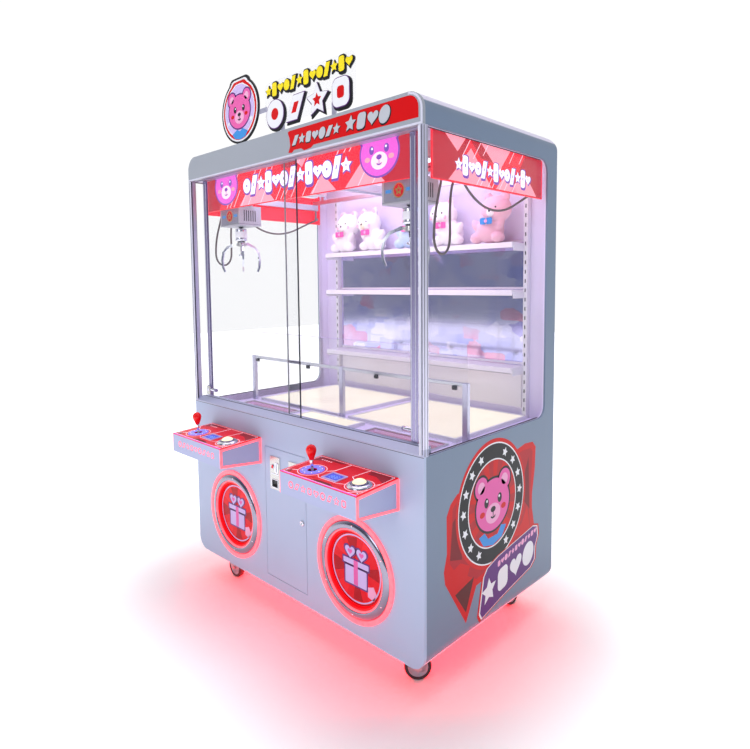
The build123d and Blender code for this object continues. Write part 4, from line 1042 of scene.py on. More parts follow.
def control_box(side):
    """Printed plate, stick, display, button and wells of one control box."""
    bx = BOX_X[side]
    plane = on_plate(side)
    sx, sy = STICK
    ux, uy = BUTTON
    outer = rrect(-0.188, -0.093, 0.188, 0.093, 0.006)
    overlay = [
        ([(-0.194, -0.0995), (0.194, -0.0995), (0.194, -0.0935), (-0.194, -0.0935)], 1, "lit_magenta"),
        (outer, rrect(-0.1866, -0.0916, 0.1866, 0.0916, 0.005), 1, "lit_pale"),
        (circle(sx, sy, 0.0535), circle(sx, sy, 0.0515), 1, "lit_pale"),
        (circle(ux, uy, 0.0505), circle(ux, uy, 0.0485), 1, "lit_pale"),
        ([(-0.186, 0.030), (-0.150, 0.005), (-0.1485, 0.0065), (-0.186, 0.0325)], 1, "lit_white"),
        ([(-0.186, -0.075), (-0.146, -0.058), (-0.147, -0.056), (-0.186, -0.0725)], 1, "lit_white"),
        (
            [
                (sx + 0.052, -0.006), (-0.028, 0.012), (-0.02, 0.09), (-0.022, 0.09), (-0.0305, 0.0135),
                (sx + 0.052, -0.004)
            ],
            1, "lit_white"
        ),
        (
            [
                (sx + 0.05, -0.045), (-0.028, -0.062), (0.06, -0.062), (0.095, -0.05), (0.094, -0.0485),
                (0.06, -0.06), (-0.028, -0.06), (sx + 0.05, -0.043)
            ],
            1, "lit_pale"
        ),
        (
            [
                (0.062, 0.012), (0.09, -0.006), (0.091, -0.0045), (0.064, 0.0135), (0.075, 0.09),
                (0.073, 0.09)
            ],
            1, "lit_white"
        ),
        ([(0.186, 0.02), (0.176, -0.004), (0.1745, -0.003), (0.184, 0.02)], 1, "lit_pale"),
        ([(0.15, -0.092), (0.186, -0.06), (0.186, -0.0575), (0.1475, -0.0915)], 1, "lit_white"),
        ([(-0.04, -0.091), (-0.01, -0.078), (0.05, -0.078), (0.08, -0.091)], 1, "dark_red"),
        ([(-0.186, 0.04), (-0.12, 0.075), (-0.06, 0.075), (-0.04, 0.09), (-0.186, 0.09)], 1, "mid_red"),
        ([(0.186, 0.03), (0.13, 0.06), (0.09, 0.06), (0.08, 0.09), (0.186, 0.09)], 1, "mid_red"),
        ([(-0.186, -0.09), (-0.17, -0.06), (-0.15, -0.091)], 1, "mid_red"),
    ]
    for k in range(5):
        overlay.append((star(-0.155 + 0.012 * k, 0.068, 0.0042), 2, "lit_pale"))
    decals("overlay_" + side, plane, overlay, "cabinet", step=0.0002)

    # the disc under the stick, the display and the button's collar
    disc = lathe(
        "stick_disc_" + side,
        [
            (0.0185, 0.0), (0.0185, 0.0022), (0.0205, 0.0025), (0.0435, 0.0025), (0.045, 0.0012),
            (0.045, 0.0)
        ],
        on_plate(side, STICK), "disc", "cabinet"
    )
    if side == "left":
        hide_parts("control_fittings")
    decals(
        "disc_print_" + side, on_plate(side, STICK) @ Matrix.Translation((0, 0, 0.0025)),
        [
            (circle(0, 0, 0.041), circle(0, 0, 0.0392), 1, "lit_purple"),
            (circle(0, 0, 0.031), circle(0, 0, 0.0302), 1, "lit_blue"),
        ]
        + [
            (
                star(0.036 * math.cos(math.radians(a)), 0.036 * math.sin(math.radians(a)), 0.0035, turn=a),
                1, "lit_pale"
            )
            for a in range(0, 360, 45)
        ],
        "cabinet", step=0.0001
    )
    bm = bmesh.new()
    add_band(
        bm, rrect(-0.039, -0.030, 0.039, 0.030, 0.004), rrect(-0.031, -0.0225, 0.031, 0.0225, 0.002), 0.0,
        0.003
    )
    finish_mesh(
        "screen_frame_" + side, bm, "lilac", "cabinet", 0.0006,
        matrix=on_plate(side, SCREEN)
    )
    bm = bmesh.new()
    add_prism(bm, rrect(-0.0308, -0.0226, 0.0308, 0.0226, 0.002), -0.01, 0.0012)
    finish_mesh(
        "screen_glass_" + side, bm, "screen", "cabinet", 0.0004,
        matrix=on_plate(side, SCREEN)
    )
    segments = []
    for k, x in enumerate((-0.018, -0.004, 0.010)):
        for x0, y0, x1, y1 in (
            (0, 0.0105, 0.007, 0.012), (0, 0, 0.007, 0.0015), (0, -0.0105, 0.007, -0.009),
            (-0.0012, 0.0012, 0, 0.0105), (0.007, 0.0012, 0.0082, 0.0105), (-0.0012, -0.0095, 0, 0),
            (0.007, -0.0095, 0.0082, 0)
        ):
            segments.append(([(x + x0, y0), (x + x1, y0), (x + x1, y1), (x + x0, y1)], 1, "lit_blue"))
    decals(
        "screen_digits_" + side, on_plate(side, SCREEN) @ Matrix.Translation((0, 0, 0.0012)), segments,
        "cabinet", step=0.0001
    )
    lathe(
        "button_collar_" + side,
        [
            (0.0306, 0.0), (0.0306, 0.0082), (0.0318, 0.009), (0.034, 0.0088), (0.0385, 0.0068),
            (0.0428, 0.0034), (0.044, 0.0012), (0.044, 0.0)
        ],
        on_plate(side, BUTTON), "chrome", "cabinet"
    )
    bm = bmesh.new()
    add_band(
        bm, rrect(-0.035, -0.035, 0.035, 0.035, 0.004), rrect(-0.032, -0.032, 0.032, 0.032, 0.003), -0.065,
        -0.003
    )
    add_prism(bm, rrect(-0.034, -0.034, 0.034, 0.034, 0.004), -0.0652, -0.062)
    finish_mesh(
        "stick_well_" + side, bm, "black_plastic", "cabinet", 0.0005,
        matrix=on_plate(side, STICK)
    )
    lathe(
        "button_well_" + side,
        [
            (0.0306, -0.003), (0.0335, -0.003), (0.0335, -0.032), (0.031, -0.035), (0.0, -0.035),
            (0.0, -0.0325), (0.0306, -0.032)
        ],
        on_plate(side, BUTTON), "black_plastic", "cabinet", closed=False
    )
    screws = []
    for x, y in ((-0.18, 0.085), (0.18, 0.085), (-0.18, -0.08), (0.18, -0.08)):
        lathe(
            "plate_screw_%s_%d" % (side, len(screws)),
            [(0.0, 0.0014), (0.0018, 0.0013), (0.0033, 0.0006), (0.0036, 0.0), (0.0, 0.0)],
            on_plate(side, (x, y)), "chrome", "cabinet", 20
        )
        screws.append(x)

    # stick and button
    bat = [
        (0.0, 93), (5, 92.3), (10, 90.2), (14.2, 86.6), (17.3, 81.8), (18.8, 76.2), (18.8, 71),
        (17.7, 65.5), (15.6, 59.5), (13, 53), (10.8, 47), (9.1, 42), (8.1, 39), (7.0, 38), (0.0, 38)
    ]
    grip = lathe(
        "stick_grip_" + side, mm(bat), on_plate(side, STICK), "stick_red", "stick_" + side
    )
    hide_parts("joystick_" + side)
    shaft = [
        (0.0, 39), (4.6, 39), (5, 38), (5, 12), (4.7, 11.6), (4.7, 10.4), (5, 10), (5, -34), (8, -34.5),
        (8, -45.5), (5, -46), (5, -53), (4, -54), (0.0, -54)
    ]
    lathe(
        "stick_shaft_" + side, mm(shaft), on_plate(side, STICK), "chrome", "stick_" + side, 32
    )
    lathe(
        "stick_pin_" + side,
        [
            (0, 0.0145), (0.0014, 0.0145), (0.0018, 0.0141), (0.0018, -0.0141), (0.0014, -0.0145),
            (0, -0.0145)
        ],
        on_plate(side, STICK) @ Matrix.Translation((0, 0, -0.04)) @ Matrix.Rotation(math.pi / 2, 4, "X"),
        "zinc", "stick_" + side, 20
    )
    lathe("stick_washer_" + side, mm(((5.2, -14), (23, -14), (24, -13.4), (23, -12.5), (5.2, -12.5))),
          on_plate(side, STICK), "lilac", "stick_" + side, 40)
    skirt = [
        (0.0, 12.6), (24.5, 12.6), (26.5, 12.4), (28.6, 11), (29.6, 8.6), (30, 5), (30, -3), (10, -3),
        (10, -24), (0.0, -24)
    ]
    cap = lathe(
        "button_skirt_" + side, mm(skirt), on_plate(side, BUTTON), "ring_chrome", "push_button_" + side,
    )
    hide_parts("button_" + side)
    dome = [
        (0.0, 22.8), (6, 22.3), (12, 20.8), (17.5, 18.2), (21.6, 15.2), (23.6, 12.9), (23.6, 12.4),
        (0.0, 12.4)
    ]
    lathe(
        "button_dome_" + side, mm(dome), on_plate(side, BUTTON), "dome", "push_button_" + side,
    )

    # lit shapes cut into the front of the box
    cut = []
    for pts in glyphs(-0.15, 0.155, 0.0, 0.026, 9, 3):
        cut.append((pts, grow(pts, 0.66), 1, "led_text"))
    decals("box_front_" + side, facing_front((bx, -0.538, 0.7235)), cut, "cabinet")


for side in BOX_X:
    control_box(side)

# ---- prize ports -----------------------------------------------------------
def prize_port(side):
    """Bezel, lip and screws round a prize port, and the print on its flap."""
    px = PORT_X[side]
    disc = facing_front((px, FRONT, PORT_Z))
    ring = lathe(
        "port_bezel_" + side,
        mm(
            (
                (152, 0), (152, 10.5), (152.8, 12.8), (154.6, 13.9), (157, 14), (164, 13.4), (171, 11.6),
                (177, 8.6), (180.6, 5), (182, 1.6), (182, 0)
            )
        ),
        disc, "ring_chrome", "cabinet", 96
    )
    if side == "left":
        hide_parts("prize_port_rings")
    lathe(
        "port_lip_" + side,
        mm(((139.6, -6), (139.6, 2.3), (141, 3.6), (144, 4.2), (146.6, 3.2), (147, 2.1), (147, -6))), disc,
        "chute_red", "cabinet", 96
    )
    for k in range(6):
        a = math.radians(30 + 60 * k)
        spot = disc @ Matrix.Translation((0.1665 * math.cos(a), 0.1665 * math.sin(a), 0.0128))
        lathe(
            "port_screw_%s_%d" % (side, k),
            [(0.0, 0.0018), (0.0022, 0.0016), (0.0036, 0.0006), (0.004, -0.001), (0.0, -0.001)], spot,
            "chrome", "cabinet", 20
        )
    flap = []
    facets = (
        (60, 20, "flap_light"), (100, 28, "flap_dark"), (140, 24, "flap_light"), (185, 30, "flap_dark"),
        (232, 26, "flap_light"), (275, 24, "flap_dark"), (318, 30, "flap_light"), (5, 24, "flap_dark")
    )
    for a, w, key in facets:
        a0, a1 = math.radians(a - w / 2), math.radians(a + w / 2)
        flap.append(
            (
                [
                    (0.02 * math.cos((a0 + a1) / 2), 0.02 * math.sin((a0 + a1) / 2)),
                    (0.12 * math.cos(a0), 0.12 * math.sin(a0)), (0.12 * math.cos(a1), 0.12 * math.sin(a1))
                ],
                1, key
            )
        )
    flap += [
        (circle(0, 0, 0.1275, n=96), circle(0, 0, 0.1225, n=96), 2, "lilac"),
        (circle(0, 0, 0.1343, n=96), circle(0, 0, 0.1305, n=96), 1, "flap_dark"),
        ([(0.062, -0.085), (0.092, -0.092), (0.104, -0.062), (0.09, -0.04), (0.06, -0.05)], 2, "pale_pink"),
    ]
    gift = [
        (rrect(-0.062, -0.07, 0.062, 0.008, 0.006), 3, "purple"),
        (rrect(-0.072, 0.004, 0.072, 0.036, 0.006), 3, "purple"),
        (heart(-0.03, 0.058, 0.034), 3, "purple"),
        (heart(0.03, 0.058, 0.034), 3, "purple"),
        (rrect(-0.056, -0.064, 0.056, 0.002, 0.004), 4, "lilac"),
        (rrect(-0.066, 0.010, 0.066, 0.030, 0.004), 4, "lilac"),
        (heart(-0.03, 0.058, 0.026), 4, "lilac"),
        (heart(0.03, 0.058, 0.026), 4, "lilac"),
        (rrect(-0.011, -0.063, 0.011, 0.030, 0.002), 5, "pink"),
        (heart(-0.03, 0.058, 0.012), 5, "pink"),
        (heart(0.03, 0.058, 0.012), 5, "pink"),
    ]
    decals(
        "flap_print_" + side, facing_front((px, FRONT + 0.008, PORT_Z)), flap + gift, "flap_" + side,
        step=0.00025
    )


for side in BOX_X:
    prize_port(side)

# ---- coin door -------------------------------------------------------------
for k, mx in enumerate((-0.080, 0.046)):
    mech = facing_front((mx, FRONT - 0.003, 0.637))
    bm = bmesh.new()
    add_band(
        bm, rrect(0.0, 0.002, 0.024, 0.046, 0.006), rrect(0.0095, 0.0065, 0.0145, 0.0415, 0.0015), 0.0,
        0.0024
    )
    add_prism(bm, rrect(-0.027, -0.006, 0.027, -0.002, 0.0015), 0.0, 0.0012)
    finish_mesh("coin_slot_%d" % k, bm, "chrome", "coin_door", 0.0005, matrix=mech)
    lathe("reject_ring_%d" % k, mm(((7.2, 0), (7.2, 2.6), (8.2, 3.2), (9.6, 2.6), (10, 0.8), (10, 0))),
          mech @ Matrix.Translation((-0.014, 0.026, 0)), "chrome", "coin_door", 32)
    lathe("reject_button_%d" % k, mm(((0, 3.6), (4, 3.4), (6.4, 2.6), (7, 1.4), (7, 0), (0, 0))),
          mech @ Matrix.Translation((-0.014, 0.026, 0)), "stick_red", "coin_door", 28)
    bm = bmesh.new()
    add_band(
        bm, rrect(-0.0225, -0.0625, 0.0225, -0.0255, 0.003),
        rrect(-0.0195, -0.0595, 0.0195, -0.0285, 0.002), 0.0, 0.0018
    )
    finish_mesh("return_frame_%d" % k, bm, "chrome", "coin_door", 0.0004, matrix=mech)
    bm = bmesh.new()
    add_prism(
        bm, [(-0.0185, -0.031), (0.0185, -0.031), (0.0185, -0.047), (-0.0185, -0.047)], -0.004, -0.0026
    )
    finish_mesh("return_flap_%d" % k, bm, "black_plastic", "coin_door", 0.0004, matrix=mech)
    for n, (x, z) in enumerate(((-0.028, 0.065), (0.028, 0.065), (-0.028, -0.065), (0.028, -0.065))):
        lathe(
            "mech_screw_%d_%d" % (k, n),
            [(0.0, 0.0012), (0.0014, 0.0012), (0.0026, 0.0006), (0.003, 0.0), (0.0, 0.0)],
            mech @ Matrix.Translation((x, z, 0)), "chrome", "coin_door", 16
        )
lock = facing_front((0.093, FRONT - 0.004, 0.469))
lathe(
    "cam_lock", mm(((0, 1.2), (6.6, 1.2), (7.2, 2.0), (9.6, 2.0), (10.8, 1.0), (11.2, 0), (0, 0))), lock,
    "chrome", "coin_door", 36
)
boxes(
    "cam_key_slot", [((0.0915, FRONT - 0.0056, 0.465), (0.0945, FRONT - 0.0051, 0.473))], "black_plastic",
    "coin_door", 0.0
)

# ---- interior --------------------------------------------------------------
shelf_items = []
for z in SHELF_Z:
    shelf_items.append(((-0.59, FRONT + 0.748, z - 0.006), (0.59, FRONT + 0.857, z + 0.006)))
    shelf_items.append(((-0.59, FRONT + 0.745, z - 0.018), (0.59, FRONT + 0.751, z + 0.006)))
boards = boxes("shelf_boards", shelf_items, "shelf", "cabinet", 0.0015)
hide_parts("display_shelves")
boxes(
    "shelf_lip_shadow",
    [((-0.588, FRONT + 0.7446, z - 0.0188), (0.588, FRONT + 0.7505, z - 0.0178)) for z in SHELF_Z],
    "gasket", "cabinet", 0.0
)
uprights = []
slots = []
brackets = []
for sign in (-1, 1):
    uprights.append(((sign * 0.59, FRONT + 0.838, 0.832), (sign * 0.61, FRONT + 0.864, 1.91)))
    for n in range(26):
        z = 0.862 + 0.04 * n
        slots.append(((sign * 0.5975, FRONT + 0.8374, z), (sign * 0.6025, FRONT + 0.839, z + 0.016)))
    for z in SHELF_Z:
        brackets.append(
            ((sign * 0.5905, FRONT + 0.752, z - 0.03), (sign * 0.5935, FRONT + 0.85, z - 0.004))
        )
boxes("shelf_uprights", uprights, "white_plastic", "cabinet", 0.001)
boxes("upright_slots", slots, "black_plastic", "cabinet", 0.0)
boxes("shelf_brackets", brackets, "white_plastic", "cabinet", 0.0006)
boxes(
    "back_liner", [((-0.578, FRONT + 0.8535, 0.872), (0.578, FRONT + 0.8572, 1.034))], "shelf", "cabinet",
    0.0008
)
boxes(
    "mirror_frame",
    [
        ((-0.58, FRONT + 0.8535, 1.062), (0.58, FRONT + 0.8575, 1.074)),
        ((-0.58, FRONT + 0.8535, 1.394), (0.58, FRONT + 0.8575, 1.404)),
        ((-0.004, FRONT + 0.8545, 1.07), (0.004, FRONT + 0.8575, 1.366)),
        ((-0.004, FRONT + 0.8545, 1.4), (0.004, FRONT + 0.8575, 1.568)),
        ((-0.58, FRONT + 0.8535, 1.6), (0.58, FRONT + 0.8575, 1.609)),
    ],
    "white_plastic", "cabinet", 0.0008
)

fence_y = FRONT + 0.3
posts = boxes(
    "fence_posts",
    [
        ((x - 0.012, fence_y + 0.004, DECK_Z), (x + 0.012, fence_y + 0.02, 1.06))
        for x in (-0.664, 0.0, 0.664)
    ],
    "alu", "cabinet", 0.0015
)
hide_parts("chute_fence")
boxes(
    "fence_bar", [((-0.652, fence_y + 0.006, 1.045), (0.652, fence_y + 0.018, 1.059))], "alu_x", "cabinet",
    0.0015
)
boxes(
    "fence_panel", [((-0.676, fence_y, DECK_Z), (0.676, fence_y + 0.004, 1.185))], "acrylic", "cabinet",
    0.0006
)
boxes(
    "fence_panel_edge", [((-0.676, fence_y + 0.0005, 1.1835), (0.676, fence_y + 0.0035, 1.1852))], "lilac",
    "cabinet", 0.0
)
boxes(
    "fence_clips",
    [
        ((x - 0.01, fence_y - 0.0035, 1.032), (x + 0.01, fence_y + 0.006, 1.048))
        for x in (-0.62, -0.22, 0.22, 0.62)
    ],
    "black_plastic", "cabinet", 0.0015
)
trims = []
for x0, x1, y0, y1 in (
    (-0.605, -0.045, 0.325, 0.825), (0.045, 0.605, 0.325, 0.825), (-0.16, 0.16, 0.11, 0.27)
):
    t = 0.012
    trims += [
        ((x0 - t, FRONT + y0 - t, DECK_Z), (x1 + t, FRONT + y0, 0.8445)),
        ((x0 - t, FRONT + y1, DECK_Z), (x1 + t, FRONT + y1 + t, 0.8445)),
        ((x0 - t, FRONT + y0, DECK_Z), (x0, FRONT + y1, 0.8445)),
        ((x1, FRONT + y0, DECK_Z), (x1 + t, FRONT + y1, 0.8445))
    ]
boxes("light_panel_frames", trims, "white_plastic", "cabinet", 0.0012)
dress("deck_light_panels", "deck_light")
rims = []
for sign in (-1, 1):
    x0, x1 = sorted((sign * 0.25, sign * 0.61))
    t = 0.008
    rims += [
        ((x0 - t, FRONT + 0.076, DECK_Z), (x1 + t, FRONT + 0.084, 0.836)),
        ((x0 - t, FRONT + 0.262, DECK_Z), (x1 + t, FRONT + 0.27, 0.836)),
        ((x0 - t, FRONT + 0.084, DECK_Z), (x0, FRONT + 0.262, 0.836)),
        ((x1, FRONT + 0.084, DECK_Z), (x1 + t, FRONT + 0.262, 0.836))
    ]
boxes("chute_rims", rims, "alu_x", "cabinet", 0.001)


def plush(name, cx, lean, key, muzzle_key, long_ears):
    """One sitting toy: rounded forms fused into one skin, with a face."""
    y0, z0 = FRONT + 0.788, 1.594
    bm = bmesh.new()

    def ball(x, y, z, rx, ry, rz, turn=0.0):
        made = bmesh.ops.create_icosphere(bm, subdivisions=3, radius=1.0)
        m = Matrix.Translation((x, y, z)) @ Matrix.Rotation(turn, 4, "Y") @ Matrix.Diagonal((rx, ry, rz, 1))
        bmesh.ops.transform(bm, matrix=m, verts=made["verts"])

    hx = cx + lean
    ball(cx, y0, z0 + 0.06, 0.064, 0.054, 0.06)
    ball(hx, y0 - 0.008, z0 + 0.146, 0.07, 0.056, 0.06)
    for d in (-1, 1):
        if long_ears:
            ball(hx + d * 0.036, y0 - 0.004, z0 + 0.196, 0.017, 0.012, 0.034, d * 0.3)
        else:
            ball(hx + d * 0.042, y0 - 0.004, z0 + 0.198, 0.023, 0.015, 0.023)
        ball(cx + d * 0.054, y0 - 0.022, z0 + 0.026, 0.028, 0.034, 0.025)
        ball(cx + d * 0.058, y0 - 0.018, z0 + 0.078, 0.018, 0.02, 0.034, d * 0.6)
    ball(cx + 0.01, y0 + 0.052, z0 + 0.03, 0.016, 0.014, 0.016)
    obj = finish_mesh(name, bm, key, None)
    remesh = obj.modifiers.new("fuse", "REMESH")
    remesh.mode = "VOXEL"
    remesh.voxel_size = 0.004
    remesh.use_smooth_shade = True
    soft = obj.modifiers.new("soften", "SMOOTH")
    soft.iterations = 6
    tex = bpy.data.textures.new(name + "_pile", "CLOUDS")
    tex.noise_scale = 0.007
    pile = obj.modifiers.new("pile", "DISPLACE")
    pile.texture = tex
    pile.texture_coords = "LOCAL"
    pile.strength = 0.0024
    pile.mid_level = 0.7
    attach(obj, "cabinet")
    face = facing_front((hx, y0 - 0.062, z0 + 0.142))
    for d in (-1, 1):
        lathe(
            "%s_eye_%d" % (name, d + 1),
            [(0, 0.0026), (0.003, 0.002), (0.005, 0.0), (0.004, -0.008), (0, -0.008)],
            face @ Matrix.Translation((d * 0.025, 0.008, -0.0045)), "black_plastic", "cabinet", 20
        )
        lathe("%s_cheek_%d" % (name, d + 1), [(0, 0.001), (0.006, 0.0006), (0.009, -0.001), (0, -0.004)],
              face @ Matrix.Translation((d * 0.04, -0.012, -0.0085)), "plush_pink", "cabinet", 20)
        lathe(
            "%s_inner_ear_%d" % (name, d + 1), [(0, 0.001), (0.008, 0.0), (0.011, -0.003), (0, -0.004)],
            facing_front(
                (
                    hx + d * (0.038 if long_ears else 0.042), y0 - 0.0185,
                    z0 + (0.204 if long_ears else 0.201)
                )
            ),
            "plush_pink", "cabinet", 20
        )
    lathe(name + "_muzzle", [(0, 0.008), (0.008, 0.0066), (0.0155, 0.003), (0.0185, -0.003), (0, -0.005)],
          face @ Matrix.Translation((0, -0.012, -0.002)), muzzle_key, "cabinet", 28)
    lathe(
        name + "_nose", [(0, 0.003), (0.004, 0.002), (0.006, 0.0), (0, -0.002)],
        face @ Matrix.Translation((0, -0.007, 0.0048)), "black_plastic", "cabinet", 20
    )
    bow = []
    for d in (-1, 1):
        bow.append(
            (
                rrect(min(0.002 * d, 0.03 * d), -0.014, max(0.002 * d, 0.03 * d), 0.014, 0.006), 1,
                "pink" if key != "plush_pink" else "blue"
            )
        )
    bow.append((circle(0, 0, 0.007), 2, "pale_pink"))
    decals(
        name + "_bow", facing_front((cx + lean * 0.45, y0 - 0.0585, z0 + 0.094)), bow, "cabinet",
        step=0.003
    )
    return obj


toys = [
    plush("toy_%d" % i, x, d, k, m, e) for i,
    (x, d, k, m, e) in enumerate(
        (
            (-0.470, 0.034, "plush_white", "plush_white", False),
            (-0.245, -0.036, "plush_white", "plush_cream", True),
            (0.0, 0.036, "plush_blue", "plush_white", False),
            (0.240, -0.034, "plush_white", "plush_white", True),
            (0.455, 0.036, "plush_pink", "plush_white", False)
        )
    )
]
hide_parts("plush_toys")

# ---- gantries and claws ----------------------------------------------------
def gantry_trim(side, sign):
    """Badge, vents, rollers, claw housing, pins and ears of one gantry."""
    cx, cy = sign * CLAW_X, CLAW_Y
    claw_top = Matrix.Translation((cx, cy, CLAW_TOP))
    body = "gantry_trolley_" + side
    front = facing_front((cx, cy - 0.06, 1.745))
    decals(
        "trolley_badge_" + side, front,
        [
            (rrect(-0.07, -0.036, 0.07, 0.036, 0.006), 1, "grey_plastic"),
            (rrect(-0.067, -0.033, 0.067, 0.033, 0.005), 2, "motor_grey"), (circle(0, 0, 0.026), 3, "gold"),
            (circle(0, 0, 0.0225), 4, "red"), (star(0, 0, 0.018), 5, "gold"),
            (circle(0, 0, 0.0045), 6, "red"), (rrect(-0.062, -0.006, -0.034, 0.006, 0.002), 3, "blue"),
            (rrect(0.034, -0.006, 0.062, 0.006, 0.002), 3, "blue"),
        ],
        body, step=0.0003
    )
    boxes(
        "trolley_vents_" + side,
        [
            (
                (cx + s * 0.08 - 0.0004 * (s > 0), cy - 0.036 + 0.012 * n, 1.72),
                (cx + s * 0.0804, cy - 0.031 + 0.012 * n, 1.77)
            )
            for s in (-1, 1) for n in range(6)
        ],
        "black_plastic", body, 0.0
    )
    boxes(
        "trolley_seam_" + side, [((cx - 0.0803, cy - 0.0603, 1.7065), (cx + 0.0803, cy + 0.0603, 1.7078))],
        "gasket", body, 0.0
    )
    for n, (dx, dy) in enumerate(((-0.045, -0.02), (0.045, -0.02), (-0.045, 0.02), (0.045, 0.02))):
        lathe(
            "trolley_roller_%s_%d" % (side, n),
            [
                (0.0015, -0.004), (0.0066, -0.004), (0.0072, -0.003), (0.0072, 0.003), (0.0066, 0.004),
                (0.0015, 0.004)
            ],
            facing_front((cx + dx, cy + dy * 1.45, 1.838)), "grey_plastic", body, 24
        )
    lathe("hoist_gland_" + side, mm(((3.2, 0), (12, 0), (12, -3), (8, -4.5), (6.5, -7), (3.2, -7))),
          Matrix.Translation((cx, cy, 1.7)), "black_plastic", body, 32)
    claw = "claw_" + side
    head = lathe(
        "claw_can_" + side,
        mm(
            (
                (0, 0), (7, 0), (8, -1.5), (22, -2), (25.5, -3.5), (27, -6), (27, -10), (26, -11),
                (26, -13), (27, -14), (27, -46), (26, -47), (26, -49), (27, -50), (27, -57), (25, -60),
                (0, -60)
            )
        ),
        claw_top, "chrome", claw, 56
    )
    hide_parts("claw_head_" + side)
    lathe(
        "claw_sleeve_" + side,
        mm(((27.05, -15.5), (27.6, -16.5), (27.6, -43.5), (27.05, -44.5), (26.2, -44.5), (26.2, -15.5))),
        claw_top, "white_plastic", claw, 56
    )
    coil = [(12.5, -60.0)]
    for n in range(6):
        z = -60.5 - n * 2.6
        coil += [(13, z), (17, z - 0.4), (17.4, z - 1.2), (17, z - 1.9), (13, z - 2.2)]
    lathe(
        "claw_hub_" + side,
        mm(
            [(0, -59.9)] + coil
            + [(16, -78), (17, -79), (17, -83), (15, -84), (5, -84), (5, -105), (0, -105)]
        ),
        claw_top, "black_plastic", claw, 40, closed=False
    )
    lathe(
        "claw_rod_" + side,
        mm(
            (
                (0, -84), (5, -84), (5, -121), (6.5, -122), (12, -123.5), (13, -126), (12.5, -130),
                (9, -132.5), (0, -133)
            )
        ),
        claw_top, "chrome", claw, 40
    )
    lathe(
        "claw_clevis_" + side,
        mm(((12, -66), (17.4, -66), (18.4, -67), (18.4, -83), (17.4, -84), (12, -84))), claw_top, "steel",
        claw, 48
    )
    for n, a in ((1, 90), (2, 210), (3, 330)):
        along = Vector((math.cos(math.radians(a)), math.sin(math.radians(a)), 0))
        across = Vector((-along.y, along.x, 0))
        pin = Matrix.Translation(
            Vector((cx, cy, 1.618)) + along * 0.024
        ) @ across.to_track_quat("Z", "Y").to_matrix().to_4x4()
        lathe(
            "claw_pin_%s_%d" % (side, n),
            [(0, 0.007), (0.002, 0.007), (0.0025, 0.0065), (0.0025, -0.0065), (0.002, -0.007), (0, -0.007)],
            pin, "zinc", "prong_%s_%d" % (side, n), 20
        )
        ear_frame = place((cx, cy, 1.618), tuple(along), (0, 0, 1))
        bm = bmesh.new()
        for w0 in (-0.0066, 0.0044):
            add_prism(
                bm,
                [
                    (0.014, -0.009), (0.023, -0.006), (0.0275, -0.0032), (0.0282, 0.0), (0.0275, 0.0032),
                    (0.023, 0.005), (0.014, 0.008)
                ],
                w0, w0 + 0.0022
            )
        finish_mesh(
            "claw_ears_%s_%d" % (side, n), bm, "steel", claw, 0.0003, matrix=ear_frame
        )
    x = sign * 0.34
    boxes(
        "bridge_stripe_" + side, [((x - 0.3, cy - 0.0184, 1.813), (x + 0.3, cy - 0.0178, 1.817))], "gasket",
        "gantry_bridge_" + side, 0.0
    )
    boxes(
        "bridge_trucks_" + side,
        [
            ((sign * 0.655, cy - 0.0408, 1.7858), (sign * 0.6865, cy - 0.03, 1.8325)),
            ((sign * 0.655, cy + 0.03, 1.7858), (sign * 0.6865, cy + 0.0408, 1.8325)),
        ],
        "grey_plastic", "gantry_bridge_" + side, 0.002
    )


for side, sign in SIDES:
    gantry_trim(side, sign)

# ---- supply cables ---------------------------------------------------------
CABLE = (
    (150, 1785.5), (149, 1768), (136, 1725), (117, 1660), (109, 1600), (110, 1552), (134, 1522),
    (170, 1522), (195, 1552), (198, 1600), (196, 1670), (202, 1735), (217, 1776), (240, 1794), (268, 1782),
    (310, 1742), (385, 1704), (470, 1690), (560, 1702), (650, 1740), (720, 1771), (760, 1785)
)


def cord(name, points, radius, mat):
    """A cord along points, from start to end, as a fixed mesh."""
    data = bpy.data.curves.new(name, "CURVE")
    data.dimensions = "3D"
    data.bevel_depth = radius
    data.bevel_resolution = 5
    data.resolution_u = 10
    spline = data.splines.new("NURBS")
    spline.points.add(len(points) - 1)
    for point, co in zip(spline.points, points):
        point.co = (*co, 1)
    spline.order_u = 3
    spline.use_endpoint_u = True
    obj = bpy.data.objects.new(name, data)
    scene.collection.objects.link(obj)
    mesh = bpy.data.meshes.new_from_object(obj.evaluated_get(bpy.context.evaluated_depsgraph_get()))
    bpy.data.objects.remove(obj)
    for f in mesh.polygons:
        f.use_smooth = True
    made = bpy.data.objects.new(name, mesh)
    scene.collection.objects.link(made)
    mesh.materials.clear()
    mesh.materials.append(M[mat])
    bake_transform(made)
    return made


